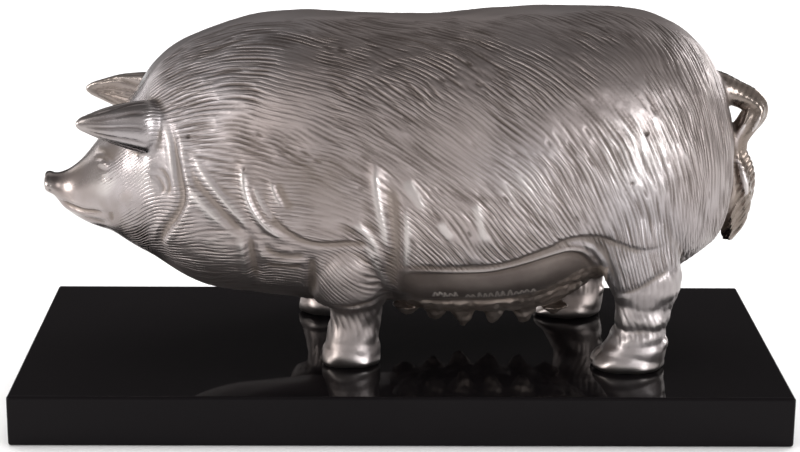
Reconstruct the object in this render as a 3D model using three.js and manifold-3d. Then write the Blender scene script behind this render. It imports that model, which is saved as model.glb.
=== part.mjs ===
// A silvered pig figurine, cast in one piece, standing on a black slab plinth.
// Millimetres, +Z up. The origin is the middle of the plinth's underside, the head points to -X
// and the flank that is seen first faces -Y.

import * as THREE from "three";
import { mergeVertices } from "three/addons/utils/BufferGeometryUtils.js";
import Module from "manifold-3d";

// Plinth
const PLINTH_LENGTH = 300;
const PLINTH_DEPTH = 140;
const PLINTH_THICKNESS = 20;
const PLINTH_CORNER_RADIUS = 2;
const PLINTH_EDGE_RADIUS = 1.2;

// Pig: length from snout to tail, height from the soles to the rump's top, and width of the barrel
const PIG_LENGTH = 288.8;
const PIG_HEIGHT = 137.4;
const PIG_WIDTH = 107;

// The figure is drawn on a carver's grid, as shares of its own length, height and width:
// 288.8 squares long, 137.4 squares high above the soles and 107 squares wide.
const GRID_LENGTH = 288.8;
const GRID_HEIGHT = 137.4;
const GRID_WIDTH = 107;

// How finely the cast surface is divided
const BODY_SEGMENTS = 36;
const BODY_RING_STEP = 9;
const LEG_SEGMENTS = 16;
const EAR_SEGMENTS = 16;
const TAIL_SEGMENTS = 10;
const TAIL_STEPS = 20;
const TEAT_SEGMENTS = 7;
const UDDER_SEGMENTS = 16;
const BALL_SEGMENTS = 10;
const MERGE_DISTANCE = 1e-4;

// Head and body: place along the length, top, underside and half width of each section
const BODY = [
  [-142.6, 69.4, 62.6, 5.6], [-141.0, 69.8, 61.6, 6.8], [-139.4, 69.2, 60.8, 6.2],
  [-136.2, 69.8, 56.8, 6.8], [-132.0, 72.1, 53.2, 8.6], [-127.0, 76.5, 50.3, 11.6],
  [-121.6, 82.8, 48.4, 16.0], [-116.0, 90.2, 46.5, 20.4], [-110.0, 98.0, 43.1, 24.4],
  [-104.0, 106.2, 39.5, 27.8], [-98.5, 114.0, 36.6, 31.0], [-93.0, 119.6, 33.0, 33.4],
  [-85.0, 124.3, 28.0, 36.8], [-75.0, 128.6, 24.6, 41.0], [-60.0, 133.2, 22.6, 45.6],
  [-40.0, 135.1, 20.8, 50.0], [-15.0, 134.3, 20.0, 52.4], [10.0, 134.0, 20.0, 53.4],
  [35.0, 136.2, 20.0, 53.5], [52.0, 137.2, 22.2, 53.2], [66.0, 137.4, 27.4, 52.4],
  [80.0, 137.2, 30.0, 51.0], [95.0, 135.6, 30.6, 47.8], [107.0, 131.3, 32.0, 43.4],
  [115.0, 125.6, 36.4, 38.4], [121.5, 117.8, 41.0, 31.8], [126.6, 108.6, 45.4, 25.2],
  [130.4, 97.2, 53.0, 17.2], [132.8, 86.0, 64.0, 8.4],
];
const BODY_SQUARENESS = 2.22;
const WIDEST_SHARE = 0.45;

// Legs: height, front edge, back edge, inner edge and outer edge of each section, outward from the midline
const FRONT_LEG = [
  [0, -30.4, -9.6, 17.4, 37.6], [1.4, -31.8, -8.4, 16.4, 38.6], [5.4, -31.2, -8.3, 16.6, 38.4],
  [9.3, -29.8, -8.7, 17.2, 38.0], [13.6, -28.6, -8.8, 17.6, 37.6], [19.6, -28.0, -7.9, 17.4, 38.0],
  [23.6, -28.8, -7.0, 16.4, 39.0], [26.0, -34.0, -5.4, 12.0, 41.0], [33.0, -36.0, -4.4, 10.0, 45.0],
  [41.0, -35.0, -5.0, 10.0, 48.0], [48.0, -31.0, -9.0, 14.0, 48.8], [54.0, -26.0, -14.0, 20.0, 46.0],
];
const HIND_LEG = [
  [0, 76.2, 102.0, 22.6, 43.4], [1.6, 74.8, 103.6, 21.4, 44.6], [5.4, 77.0, 104.4, 21.8, 44.4],
  [9.0, 79.8, 104.8, 22.4, 44.0], [13.0, 82.4, 104.2, 23.0, 43.4], [17.0, 84.4, 104.4, 23.6, 42.8],
  [19.0, 84.4, 105.0, 23.0, 43.4], [24.6, 84.0, 105.6, 22.8, 43.6], [27.4, 83.8, 107.0, 22.6, 43.8],
  [31.0, 82.4, 109.0, 21.0, 44.4], [36.0, 79.6, 109.6, 18.0, 45.4], [43.0, 75.4, 109.0, 14.0, 46.6],
  [50.0, 71.0, 108.0, 12.0, 47.4], [57.0, 70.0, 106.0, 12.0, 47.8], [65.0, 74.0, 101.0, 16.0, 47.4],
  [73.0, 80.0, 95.0, 22.0, 45.0],
];
const LEG_SQUARENESS = 2.3;
const HIP_HEIGHT = 60;

// Stance, as a shift along and outward for each leg: the far legs stand further forward
const NEAR_FRONT = { stations: FRONT_LEG, side: -1, forward: 0, outward: 0 };
const FAR_FRONT = { stations: FRONT_LEG, side: 1, forward: -11, outward: 11 };
const NEAR_HIND = { stations: HIND_LEG, side: -1, forward: 0, outward: 0 };
const FAR_HIND = { stations: HIND_LEG, side: 1, forward: -18, outward: 2 };
const LEGS = [NEAR_FRONT, FAR_FRONT, NEAR_HIND, FAR_HIND];
const DEWCLAW = { inset: 1.4, height: 11.5, radius: 2.8, spread: 1.5 };

// Ears: place along the length, middle height, half height, distance out and half thickness, tip first
const EAR = [
  [-125.2, 97.0, 0.9, 32.6, 0.8], [-123.6, 97.0, 2.5, 32.2, 1.7], [-119.6, 96.8, 4.4, 31.4, 2.8],
  [-114.0, 96.4, 6.8, 30.2, 4.2], [-108.0, 95.8, 8.8, 28.8, 5.8], [-101.5, 95.0, 10.3, 27.0, 7.4],
  [-96.0, 94.2, 10.6, 25.0, 8.2], [-91.0, 93.2, 8.4, 22.0, 7.0],
];
const EAR_CUP = 0.62;
const FAR_EAR_FORWARD = -4.6;

// Tail: along, out and height of its middle line, and its radius; it loops and hangs down the rump
const TAIL = [
  [121.0, 0, 106.3, 6.8], [127.0, 0, 105.2, 6.4], [133.4, -0.4, 103.2, 5.3], [138.4, -1.0, 100.7, 4.8],
  [141.0, -1.8, 97.0, 4.8], [138.4, -2.6, 91.6, 4.6], [134.8, -2.6, 86.4, 4.4], [133.8, -2.0, 80.4, 4.4],
  [135.4, -1.4, 73.0, 5.5], [136.0, -1.0, 65.2, 6.0], [135.2, -0.6, 56.6, 5.7], [133.6, -0.2, 49.2, 4.6],
  [132.4, 0, 42.6, 2.0],
];

// Udder: its keel under the belly, then the paired teats by place along and height of the tip
const UDDER = [
  [-8, 1, 25], [-3, 16, 19.6], [5, 25, 16.6], [18, 27.5, 15.2], [38, 27.5, 15.2],
  [54, 25, 16.4], [68, 18, 20.4], [80, 4, 28],
];
const UDDER_TOP = 38;
const TEATS = [[3, 14.6], [14, 12.6], [25.2, 10], [37.2, 11.4], [49.6, 11.8], [61, 15.4]];
const TEAT_OUT = 13;
const TEAT_ROOT = 19;
const TEAT_ROOT_RADIUS = 6.4;
const TEAT_PROFILE = [[0, 1], [0.3, 0.78], [0.8, 0.3], [1, 0.12]];

// Folds of skin on each flank, as lines of along and height, with their width and depth
const JOWL_FOLD = { width: 6, depth: 2.4, line: [[-92, 98], [-87, 88], [-84.6, 72], [-88, 60], [-93.6, 49]] };
const NECK_FOLD = { width: 5, depth: 1.6, line: [[-82, 86], [-73, 76], [-64, 65], [-57.6, 57]] };
const CHEST_FOLD = { width: 5, depth: 2.2, line: [[-58.5, 56], [-57.8, 48], [-57, 38]] };
const SHOULDER_FOLD = {
  width: 5.5,
  depth: 2.2,
  line: [[-60.4, 84], [-59, 72], [-51, 60], [-38, 54.8], [-20, 56], [-11, 52]],
};
const ELBOW_FOLD = { width: 6, depth: 2.6, line: [[-8.8, 86], [-8, 74], [-5, 60], [-3, 47], [-2.6, 36]] };
const BELLY_FOLD = {
  width: 6,
  depth: 2.4,
  line: [[0, 44.6], [20, 43.6], [38, 44.8], [50, 49], [60, 53], [70, 57.6]],
};
const HAM_FOLD = { width: 5, depth: 2, line: [[62, 57.4], [72, 59], [84, 55.4], [96, 53.4], [104, 54.6]] };
const MOUTH = { width: 2.6, depth: 1.6, line: [[-136.4, 60.4], [-130.3, 57.4], [-124, 56.4], [-116.4, 57]] };
const FOLDS = [JOWL_FOLD, NECK_FOLD, CHEST_FOLD, SHOULDER_FOLD, ELBOW_FOLD, BELLY_FOLD, HAM_FOLD, MOUTH];
const FOLD_STEP = 9;
const FOLD_LIFT = 1.4;
const FOLD_RIM = 0.5;
const FOLD_TAPER = 0.6;
const FOLD_END = 0.12;
const EYE = { along: -117.2, height: 77.8, radius: 2.2, depth: 1.4 };
const NOSTRIL = { out: 2.6, height: 66.2, radius: 1.3, depth: 2.4 };

const SILVER = { color: 0xa59c98, roughness: 0.3, metalness: 1 };
const BLACK_SLAB = { color: 0x060606, roughness: 0.06, metalness: 0 };

const wasm = await Module();
wasm.setup();

const along = (squares) => (squares * PIG_LENGTH) / GRID_LENGTH;
const across = (squares) => (squares * PIG_WIDTH) / GRID_WIDTH;
const above = (squares) => PLINTH_THICKNESS + (squares * PIG_HEIGHT) / GRID_HEIGHT;
const place = (x, y, height) => new THREE.Vector3(along(x), across(y), above(height));

// A smooth line through rows of numbers, read at a value of their first column
function rowAt(rows, value) {
  const last = rows.length - 1;
  let i = 0;
  while (i < last - 1 && value > rows[i + 1][0]) i += 1;
  const [a, b, c, d] = [rows[Math.max(i - 1, 0)], rows[i], rows[i + 1], rows[Math.min(i + 2, last)]];
  const span = c[0] - b[0];
  const t = (value - b[0]) / span;
  return b.map((start, k) => {
    const slopeIn = b === a ? c[k] - start : ((c[k] - a[k]) / (c[0] - a[0])) * span;
    const slopeOut = d === c ? c[k] - start : ((d[k] - start) / (d[0] - b[0])) * span;
    const eased = t * t * (3 - 2 * t);
    const swing = t * (1 - t) * ((1 - t) * slopeIn - t * slopeOut);
    return start + (c[k] - start) * eased + swing;
  });
}

// The values where rings are set: every station, and even steps of no more than a length between
function ringValues(rows, longest) {
  const values = [];
  for (let i = 0; i < rows.length - 1; i += 1) {
    const steps = Math.ceil((rows[i + 1][0] - rows[i][0]) / longest);
    for (let k = 0; k < steps; k += 1) {
      values.push(THREE.MathUtils.lerp(rows[i][0], rows[i + 1][0], k / steps));
    }
  }
  values.push(rows[rows.length - 1][0]);
  return values;
}

// A point of a squared-off oval, one unit in size
function ovalPoint(angle, squareness) {
  const power = 2 / squareness;
  const c = Math.cos(angle);
  const s = Math.sin(angle);
  return [Math.sign(c) * Math.abs(c) ** power, Math.sign(s) * Math.abs(s) ** power];
}

// A closed solid through rings of equal count, with a flat cap at each end
function loft(rings) {
  const count = rings[0].length;
  const points = rings.flat();
  const triangles = [];
  for (let r = 0; r < rings.length - 1; r += 1) {
    for (let k = 0; k < count; k += 1) {
      const a = r * count + k;
      const b = r * count + ((k + 1) % count);
      triangles.push(a, b, b + count, a, b + count, a + count);
    }
  }
  for (const [start, flip] of [[0, true], [(rings.length - 1) * count, false]]) {
    const middle = new THREE.Vector3();
    for (let k = 0; k < count; k += 1) middle.addScaledVector(points[start + k], 1 / count);
    points.push(middle);
    for (let k = 0; k < count; k += 1) {
      const a = start + k;
      const b = start + ((k + 1) % count);
      triangles.push(points.length - 1, flip ? b : a, flip ? a : b);
    }
  }
  return solidFrom(points, triangles);
}

// A solid from points and triangles, turned outward if it came out inside out
function solidFrom(points, triangles) {
  let volume = 0;
  for (let i = 0; i < triangles.length; i += 3) {
    const [a, b, c] = [points[triangles[i]], points[triangles[i + 1]], points[triangles[i + 2]]];
    volume += a.dot(new THREE.Vector3().crossVectors(b, c));
  }
  if (volume < 0) triangles.reverse();
  const vertProperties = new Float32Array(points.flatMap((p) => [p.x, p.y, p.z]));
  const triVerts = new Uint32Array(triangles);
  return new wasm.Manifold(new wasm.Mesh({ numProp: 3, vertProperties, triVerts }));
}

function solidFromGeometry(geometry) {
  const bare = new THREE.BufferGeometry();
  bare.setAttribute("position", geometry.getAttribute("position"));
  if (geometry.index) bare.setIndex(geometry.index);
  const merged = mergeVertices(bare, MERGE_DISTANCE);
  const vertProperties = new Float32Array(merged.getAttribute("position").array);
  const triVerts = new Uint32Array(merged.index.array);
  return new wasm.Manifold(new wasm.Mesh({ numProp: 3, vertProperties, triVerts }));
}

function geometryFrom(solid) {
  const { numProp, vertProperties, triVerts } = solid.getMesh();
  const positions = new Float32Array((vertProperties.length / numProp) * 3);
  for (let i = 0; i < positions.length / 3; i += 1) {
    for (let k = 0; k < 3; k += 1) positions[i * 3 + k] = vertProperties[i * numProp + k];
  }
  const geometry = new THREE.BufferGeometry();
  geometry.setAttribute("position", new THREE.BufferAttribute(positions, 3));
  geometry.setIndex(new THREE.BufferAttribute(new Uint32Array(triVerts), 1));
  geometry.computeVertexNormals();
  return geometry;
}

// Height of the widest line of the body, and its half heights above and below
function bodyShape(x) {
  const [, top, bottom, half] = rowAt(BODY, x);
  const middle = THREE.MathUtils.lerp(bottom, top, WIDEST_SHARE);
  return { top, bottom, half, middle };
}

function bodySolid() {
  const rings = ringValues(BODY, BODY_RING_STEP).map((x) => {
    const { top, bottom, half, middle } = bodyShape(x);
    return Array.from({ length: BODY_SEGMENTS }, (_, k) => {
      const [side, rise] = ovalPoint((2 * Math.PI * k) / BODY_SEGMENTS, BODY_SQUARENESS);
      return place(x, side * half, middle + rise * (rise > 0 ? top - middle : middle - bottom));
    });
  });
  return loft(rings);
}

// How far out the body's flank lies at a place along and a height
function flankOut(x, height) {
  const { top, bottom, half, middle } = bodyShape(x);
  const reach = height > middle ? top - middle : middle - bottom;
  const share = Math.min(Math.abs(height - middle) / reach, 0.98);
  return half * (1 - share ** BODY_SQUARENESS) ** (1 / BODY_SQUARENESS);
}

// The way out of the flank at a place, from small steps along and up
function flankNormal(x, height, side) {
  const step = 1;
  const on = (a, h) => place(a, side * flankOut(a, h), h);
  const forward = on(x + step, height).sub(on(x - step, height));
  const up = on(x, height + step).sub(on(x, height - step));
  return new THREE.Vector3().crossVectors(forward, up).multiplyScalar(-side).normalize();
}

// A gouge that follows a line on one flank, widest and deepest halfway
function gouge({ line, width, depth }, side) {
  const points = line.map(([x, height]) => new THREE.Vector3(x, 0, height));
  const curve = new THREE.CatmullRomCurve3(points);
  const rings = [];
  const steps = Math.ceil(curve.getLength() / FOLD_STEP) + 1;
  for (let i = 0; i <= steps; i += 1) {
    const t = i / steps;
    const at = curve.getPoint(t);
    const way = curve.getTangent(t);
    const fade = Math.max(Math.sin(Math.PI * t) ** FOLD_TAPER, FOLD_END);
    const out = flankNormal(at.x, at.z, side);
    const centre = place(at.x, side * flankOut(at.x, at.z), at.z);
    const course = new THREE.Vector3(way.x, 0, way.z);
    const broad = new THREE.Vector3().crossVectors(course, out).setLength((width * fade) / 2);
    rings.push([
      centre.clone().add(broad).addScaledVector(out, FOLD_RIM),
      centre.clone().addScaledVector(out, FOLD_LIFT),
      centre.clone().sub(broad).addScaledVector(out, FOLD_RIM),
      centre.clone().addScaledVector(out, -depth * fade),
    ]);
  }
  return loft(rings);
}

// A leg is drawn as flat sections from the sole up into the body
function legSolid({ stations, side, forward, outward }) {
  const rings = stations.map(([height, front, back, inner, outer]) => {
    const middleX = (front + back) / 2 + forward;
    const middleY = (inner + outer) / 2 + outward * Math.max(1 - height / HIP_HEIGHT, 0);
    return Array.from({ length: LEG_SEGMENTS }, (_, k) => {
      const [u, v] = ovalPoint((2 * Math.PI * k) / LEG_SEGMENTS, LEG_SQUARENESS);
      return place(middleX + (u * (back - front)) / 2, side * (middleY + (v * (outer - inner)) / 2), height);
    });
  });
  return loft(rings);
}

function dewclawSolid({ stations, side, forward, outward }) {
  const [, , back, inner, outer] = rowAt(stations, DEWCLAW.height);
  const ball = new THREE.SphereGeometry(DEWCLAW.radius, BALL_SEGMENTS, BALL_SEGMENTS / 2);
  ball.scale(1, DEWCLAW.spread, 1);
  const out = (inner + outer) / 2 + outward;
  const at = place(back - DEWCLAW.inset + forward, side * out, DEWCLAW.height);
  ball.translate(at.x, at.y, at.z);
  return solidFromGeometry(ball);
}

// An ear is a forward cone with its inner side cupped
function earSolid(side, forward) {
  const rings = EAR.map(([x, height, halfHeight, out, halfThick], i) =>
    Array.from({ length: EAR_SEGMENTS }, (_, k) => {
      const angle = (2 * Math.PI * k) / EAR_SEGMENTS;
      const inward = Math.max(-Math.cos(angle), 0);
      const hollow = i > 0 ? EAR_CUP * inward ** 2 : 0;
      const y = out + Math.cos(angle) * halfThick * (1 - hollow);
      const share = (EAR.length - 1 - i) / (EAR.length - 1);
      return place(x + forward * share, side * y, height + Math.sin(angle) * halfHeight);
    }),
  );
  return loft(rings);
}

function tailSolid() {
  const middleLine = new THREE.CatmullRomCurve3(TAIL.map(([x, y, height]) => place(x, y, height)));
  const radii = TAIL.map(([, , , radius], i) => [i / (TAIL.length - 1), radius]);
  const rings = [];
  for (let i = 0; i <= TAIL_STEPS; i += 1) {
    const t = i / TAIL_STEPS;
    const at = middleLine.getPoint(t);
    const way = middleLine.getTangent(t);
    const flat = new THREE.Vector3(0, 1, 0).addScaledVector(way, -way.y).normalize();
    const thick = new THREE.Vector3().crossVectors(way, flat);
    const radius = rowAt(radii, t)[1];
    rings.push(Array.from({ length: TAIL_SEGMENTS }, (_, k) => {
      const angle = (2 * Math.PI * k) / TAIL_SEGMENTS;
      return at.clone()
        .addScaledVector(flat, across(Math.cos(angle) * radius))
        .addScaledVector(thick, along(Math.sin(angle) * radius));
    }));
  }
  return loft(rings);
}

function udderSolid() {
  const rings = UDDER.map(([x, half, bottom]) =>
    Array.from({ length: UDDER_SEGMENTS }, (_, k) => {
      const angle = (2 * Math.PI * k) / UDDER_SEGMENTS;
      const middle = (UDDER_TOP + bottom) / 2;
      return place(x, Math.cos(angle) * half, middle + (Math.sin(angle) * (UDDER_TOP - bottom)) / 2);
    }),
  );
  return loft(rings);
}

function teatSolid([x, tip], side) {
  const rings = TEAT_PROFILE.map(([drop, share]) => {
    const radius = TEAT_ROOT_RADIUS * share;
    const height = THREE.MathUtils.lerp(TEAT_ROOT, tip, drop);
    return Array.from({ length: TEAT_SEGMENTS }, (_, k) => {
      const angle = (2 * Math.PI * k) / TEAT_SEGMENTS;
      return place(x + Math.cos(angle) * radius, side * TEAT_OUT + Math.sin(angle) * radius, height);
    });
  });
  return loft(rings);
}

function eyeHollow(side) {
  const ball = new THREE.SphereGeometry(EYE.radius, BALL_SEGMENTS, BALL_SEGMENTS / 2);
  const out = flankNormal(EYE.along, EYE.height, side);
  const at = place(EYE.along, side * flankOut(EYE.along, EYE.height), EYE.height);
  at.addScaledVector(out, EYE.radius - EYE.depth);
  ball.translate(at.x, at.y, at.z);
  return solidFromGeometry(ball);
}

function nostril(side) {
  const cone = new THREE.ConeGeometry(NOSTRIL.radius, NOSTRIL.depth * 2, BALL_SEGMENTS);
  cone.rotateZ(-Math.PI / 2);
  const at = place(BODY[0][0], side * NOSTRIL.out, NOSTRIL.height);
  cone.translate(at.x, at.y, at.z);
  return solidFromGeometry(cone);
}

function pigSolid() {
  let pig = bodySolid();
  for (const side of [-1, 1]) {
    for (const fold of FOLDS) pig = pig.subtract(gouge(fold, side));
    pig = pig.subtract(eyeHollow(side)).subtract(nostril(side));
    pig = pig.add(earSolid(side, side > 0 ? FAR_EAR_FORWARD : 0));
  }
  pig = pig.add(udderSolid());
  for (const teat of TEATS) {
    for (const side of [-1, 1]) pig = pig.add(teatSolid(teat, side));
  }
  for (const leg of LEGS) {
    pig = pig.add(legSolid(leg));
    if (leg.stations === HIND_LEG) pig = pig.add(dewclawSolid(leg));
  }
  return pig.add(tailSolid());
}

function plinthGeometry() {
  const halfLength = PLINTH_LENGTH / 2 - PLINTH_EDGE_RADIUS;
  const halfDepth = PLINTH_DEPTH / 2 - PLINTH_EDGE_RADIUS;
  const r = PLINTH_CORNER_RADIUS;
  const outline = new THREE.Shape();
  outline.absarc(halfLength - r, halfDepth - r, r, 0, Math.PI / 2);
  outline.absarc(r - halfLength, halfDepth - r, r, Math.PI / 2, Math.PI);
  outline.absarc(r - halfLength, r - halfDepth, r, Math.PI, 1.5 * Math.PI);
  outline.absarc(halfLength - r, r - halfDepth, r, 1.5 * Math.PI, 2 * Math.PI);
  const slab = new THREE.ExtrudeGeometry(outline, {
    depth: PLINTH_THICKNESS - 2 * PLINTH_EDGE_RADIUS,
    bevelThickness: PLINTH_EDGE_RADIUS,
    bevelSize: PLINTH_EDGE_RADIUS,
    bevelSegments: 2,
    curveSegments: 3,
  });
  slab.translate(0, 0, PLINTH_EDGE_RADIUS);
  return slab;
}

const figurine = new THREE.Group();

const pig = new THREE.Mesh(geometryFrom(pigSolid()), new THREE.MeshStandardMaterial(SILVER));
pig.name = "pig";
figurine.add(pig);

const plinth = new THREE.Mesh(plinthGeometry(), new THREE.MeshStandardMaterial(BLACK_SLAB));
plinth.name = "plinth";
figurine.add(plinth);

export default figurine;
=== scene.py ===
import math
import random

import bpy
import numpy as np
from mathutils import Matrix, Vector


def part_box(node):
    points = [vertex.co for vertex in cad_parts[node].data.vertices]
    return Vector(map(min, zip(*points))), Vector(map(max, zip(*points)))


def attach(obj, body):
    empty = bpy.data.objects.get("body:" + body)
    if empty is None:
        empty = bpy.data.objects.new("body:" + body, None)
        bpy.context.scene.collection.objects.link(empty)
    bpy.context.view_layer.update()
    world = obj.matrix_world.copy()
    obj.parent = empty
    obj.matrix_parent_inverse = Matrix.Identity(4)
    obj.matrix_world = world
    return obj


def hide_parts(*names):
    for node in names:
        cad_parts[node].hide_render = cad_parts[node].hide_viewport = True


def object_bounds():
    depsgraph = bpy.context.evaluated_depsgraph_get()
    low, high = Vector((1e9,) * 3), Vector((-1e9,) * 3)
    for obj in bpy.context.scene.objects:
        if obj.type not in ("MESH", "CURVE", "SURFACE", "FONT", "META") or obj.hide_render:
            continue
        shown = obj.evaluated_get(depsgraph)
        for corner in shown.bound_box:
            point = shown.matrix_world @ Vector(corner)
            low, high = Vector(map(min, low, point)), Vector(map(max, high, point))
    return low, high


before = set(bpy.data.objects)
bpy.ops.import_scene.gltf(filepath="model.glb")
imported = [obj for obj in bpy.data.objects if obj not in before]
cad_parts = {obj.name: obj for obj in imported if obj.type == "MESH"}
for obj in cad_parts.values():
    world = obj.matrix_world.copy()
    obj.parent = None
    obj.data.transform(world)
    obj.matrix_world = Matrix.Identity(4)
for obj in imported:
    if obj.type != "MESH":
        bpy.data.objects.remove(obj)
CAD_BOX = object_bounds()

# A silvered pig figurine on a black slab. The pig is cast in one piece, its folds of skin are modelled
# and its hair is chased with a graver. Shapes are drawn in squares of a carver's grid, of which the slab
# is 300 long. Heights are above the slab, the head points to -X and the near flank faces -Y.
SLAB_LOW, SLAB_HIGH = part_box("plinth")
SQUARE = (SLAB_HIGH[0] - SLAB_LOW[0]) / 300
SLAB_TOP = SLAB_HIGH[2]
SLAB_EDGE = 1.3

# Fineness of the skin: the first mesh, what is left of it in all and on the hidden side, and the hair map
VOXEL = 0.5
ALL_TRIANGLES, HIDDEN_TRIANGLES = ((197000, 40000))
CHART_STEP = 0.25

# Head and body: place along the length, top, underside and half width of each section
BODY = [
    [-142.6, 69.4, 62.6, 5.6], [-141.0, 69.8, 61.6, 6.8], [-139.4, 69.2, 60.8, 6.2],
    [-136.2, 69.8, 56.8, 6.8], [-132.0, 72.1, 53.2, 8.6], [-127.0, 76.5, 50.3, 11.6],
    [-121.6, 82.8, 48.4, 16.0], [-116.0, 90.2, 46.5, 20.4], [-110.0, 98.0, 43.1, 24.4],
    [-104.0, 106.2, 39.5, 27.8], [-98.5, 114.0, 36.6, 31.0], [-93.0, 119.6, 33.0, 33.4],
    [-85.0, 124.3, 28.0, 36.8], [-75.0, 128.6, 24.6, 41.0], [-60.0, 133.2, 22.6, 45.6],
    [-40.0, 135.1, 20.8, 50.0], [-15.0, 134.3, 20.0, 52.4], [10.0, 134.0, 20.0, 53.4],
    [35.0, 136.2, 20.0, 53.5], [52.0, 137.2, 22.2, 53.2], [66.0, 137.4, 27.4, 52.4],
    [80.0, 137.2, 30.0, 51.0], [95.0, 135.6, 30.6, 47.8], [107.0, 131.3, 32.0, 43.4],
    [115.0, 125.6, 36.4, 38.4], [121.5, 117.8, 41.0, 31.8], [126.6, 108.6, 45.4, 25.2],
    [130.4, 97.2, 53.0, 17.2], [132.8, 86.0, 64.0, 8.4],
]
BODY_SQUARENESS = 2.22
WIDEST_SHARE = 0.45

# Legs: height, front edge, back edge, inner edge and outer edge of each section
FRONT_LEG = [
    [0, -30.4, -9.6, 17.4, 37.6], [1.4, -31.8, -8.4, 16.4, 38.6], [5.4, -31.2, -8.3, 16.6, 38.4],
    [9.3, -29.8, -8.7, 17.2, 38.0], [13.6, -28.6, -8.8, 17.6, 37.6], [19.6, -28.0, -7.9, 17.4, 38.0],
    [23.6, -28.8, -7.0, 16.4, 39.0], [26.0, -34.0, -5.4, 12.0, 41.0], [33.0, -36.0, -4.4, 10.0, 45.0],
    [41.0, -35.0, -5.0, 10.0, 48.0], [48.0, -31.0, -9.0, 14.0, 48.8], [54.0, -26.0, -14.0, 20.0, 46.0],
]
HIND_LEG = [
    [0, 76.2, 102.0, 22.6, 43.4], [1.6, 74.8, 103.6, 21.4, 44.6], [5.4, 77.0, 104.4, 21.8, 44.4],
    [9.0, 79.8, 104.8, 22.4, 44.0], [13.0, 82.4, 104.2, 23.0, 43.4], [17.0, 84.4, 104.4, 23.6, 42.8],
    [19.0, 84.4, 105.0, 23.0, 43.4], [24.6, 84.0, 105.6, 22.8, 43.6], [27.4, 83.8, 107.0, 22.6, 43.8],
    [31.0, 82.4, 109.0, 21.0, 44.4], [36.0, 79.6, 109.6, 18.0, 45.4], [43.0, 75.4, 109.0, 14.0, 46.6],
    [50.0, 71.0, 108.0, 12.0, 47.4], [57.0, 70.0, 106.0, 12.0, 47.8], [65.0, 74.0, 101.0, 16.0, 47.4],
    [73.0, 80.0, 95.0, 22.0, 45.0],
]
LEG_SQUARENESS = 2.3
HIP_HEIGHT = 60

# Creases round the near legs: height, depth, width and how much they rise to the back and to the front
FRONT_CREASES = [[9.6, 0.3, 1.6, 0.6, 0.0]]
HIND_CREASES = [[25.0, 0.42, 1.7, 6.5, 2.4], [17.0, 0.36, 1.5, 0.8, -0.6], [11.0, 0.34, 1.4, 0.8, -0.8]]

# Stance of each leg: shift along and outward
LEGS = [
    {"stations": FRONT_LEG, "creases": FRONT_CREASES, "side": -1, "forward": 0, "outward": 0},
    {"stations": FRONT_LEG, "creases": [], "side": 1, "forward": -11, "outward": 11},
    {"stations": HIND_LEG, "creases": HIND_CREASES, "side": -1, "forward": 0, "outward": 0},
    {"stations": HIND_LEG, "creases": [], "side": 1, "forward": -18, "outward": 2},
]
DEWCLAW = {"inset": 1.5, "height": 11.5, "radii": (2.0, 2.2, 3.1), "apart": 5.0}

# Ears: place along, middle height, half height, distance out and half thickness, tip first
EAR = [
    [-125.2, 97.0, 0.9, 32.6, 0.8], [-123.6, 97.0, 2.5, 32.2, 1.7], [-119.6, 96.8, 4.4, 31.4, 2.8],
    [-114.0, 96.4, 6.8, 30.2, 4.2], [-108.0, 95.8, 8.8, 28.8, 5.8], [-101.5, 95.0, 10.3, 27.0, 7.4],
    [-96.0, 94.2, 10.6, 25.0, 8.2], [-91.0, 93.2, 8.4, 22.0, 7.0],
]
EAR_CUP = 0.62
FAR_EAR_FORWARD = -4.6

# Tail: along, out and height of its middle line, and its radius
TAIL = [
    [121.0, 0, 106.3, 6.8], [127.0, 0, 105.2, 6.4], [133.4, -0.4, 103.2, 5.3], [138.4, -1.0, 100.7, 4.8],
    [141.0, -1.8, 97.0, 4.8], [138.4, -2.6, 91.6, 4.6], [134.8, -2.6, 86.4, 4.4], [133.8, -2.0, 80.4, 4.4],
    [135.4, -1.4, 73.0, 5.5], [136.0, -1.0, 65.2, 6.0], [135.2, -0.6, 56.6, 5.7], [133.6, -0.2, 49.2, 4.6],
    [132.4, 0, 42.6, 2.0],
]
TAIL_STRANDS = 5
TAIL_TWIST = 2.6

# Udder: its keel under the belly, then the paired teats by place along and height of the tip
UDDER = [
    [-8.0, 1.0, 25.0], [-3.0, 16.0, 19.6], [5.0, 25.0, 16.6], [18.0, 27.5, 15.2], [38.0, 27.5, 15.2],
    [54.0, 25.0, 16.4], [68.0, 18.0, 20.4], [80.0, 4.0, 28.0],
]
UDDER_TOP = 38
TEATS = [[3, 14.6], [14, 12.6], [25.2, 10], [37.2, 11.4], [49.6, 11.8], [61, 15.4]]
TEAT_OUT = 13
TEAT_ROOT = 19
TEAT_ROOT_RADIUS = 6.4
TEAT_PROFILE = [[0, 1], [0.3, 0.78], [0.8, 0.34], [1, 0.14]]


def smooth_step(low, high, value):
    t = np.clip((value - low) / (high - low), 0, 1)
    return t * t * (3 - 2 * t)


def bell(value, width):
    return np.exp(-((value / width) ** 2))


def rows_at(rows, values):
    """Reads rows of numbers along a smooth line, at values of their first column."""
    rows = np.array(rows, float)
    values = np.clip(np.asarray(values, float), rows[0, 0], rows[-1, 0])
    last = len(rows) - 1
    i = np.clip(np.searchsorted(rows[:, 0], values, side="right") - 1, 0, last - 1)
    before, start = rows[np.maximum(i - 1, 0)], rows[i]
    end, after = rows[i + 1], rows[np.minimum(i + 2, last)]
    span = (end - start)[..., :1]
    t = (values[..., None] - start[..., :1]) / span
    first = (i == 0)[..., None]
    final = (i == last - 1)[..., None]
    slope_in = np.where(first, end - start, (end - before) / (end - before)[..., :1] * span)
    slope_out = np.where(final, end - start, (after - start) / (after - start)[..., :1] * span)
    swing = t * (1 - t) * ((1 - t) * slope_in - t * slope_out)
    return start + (end - start) * t * t * (3 - 2 * t) + swing


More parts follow.
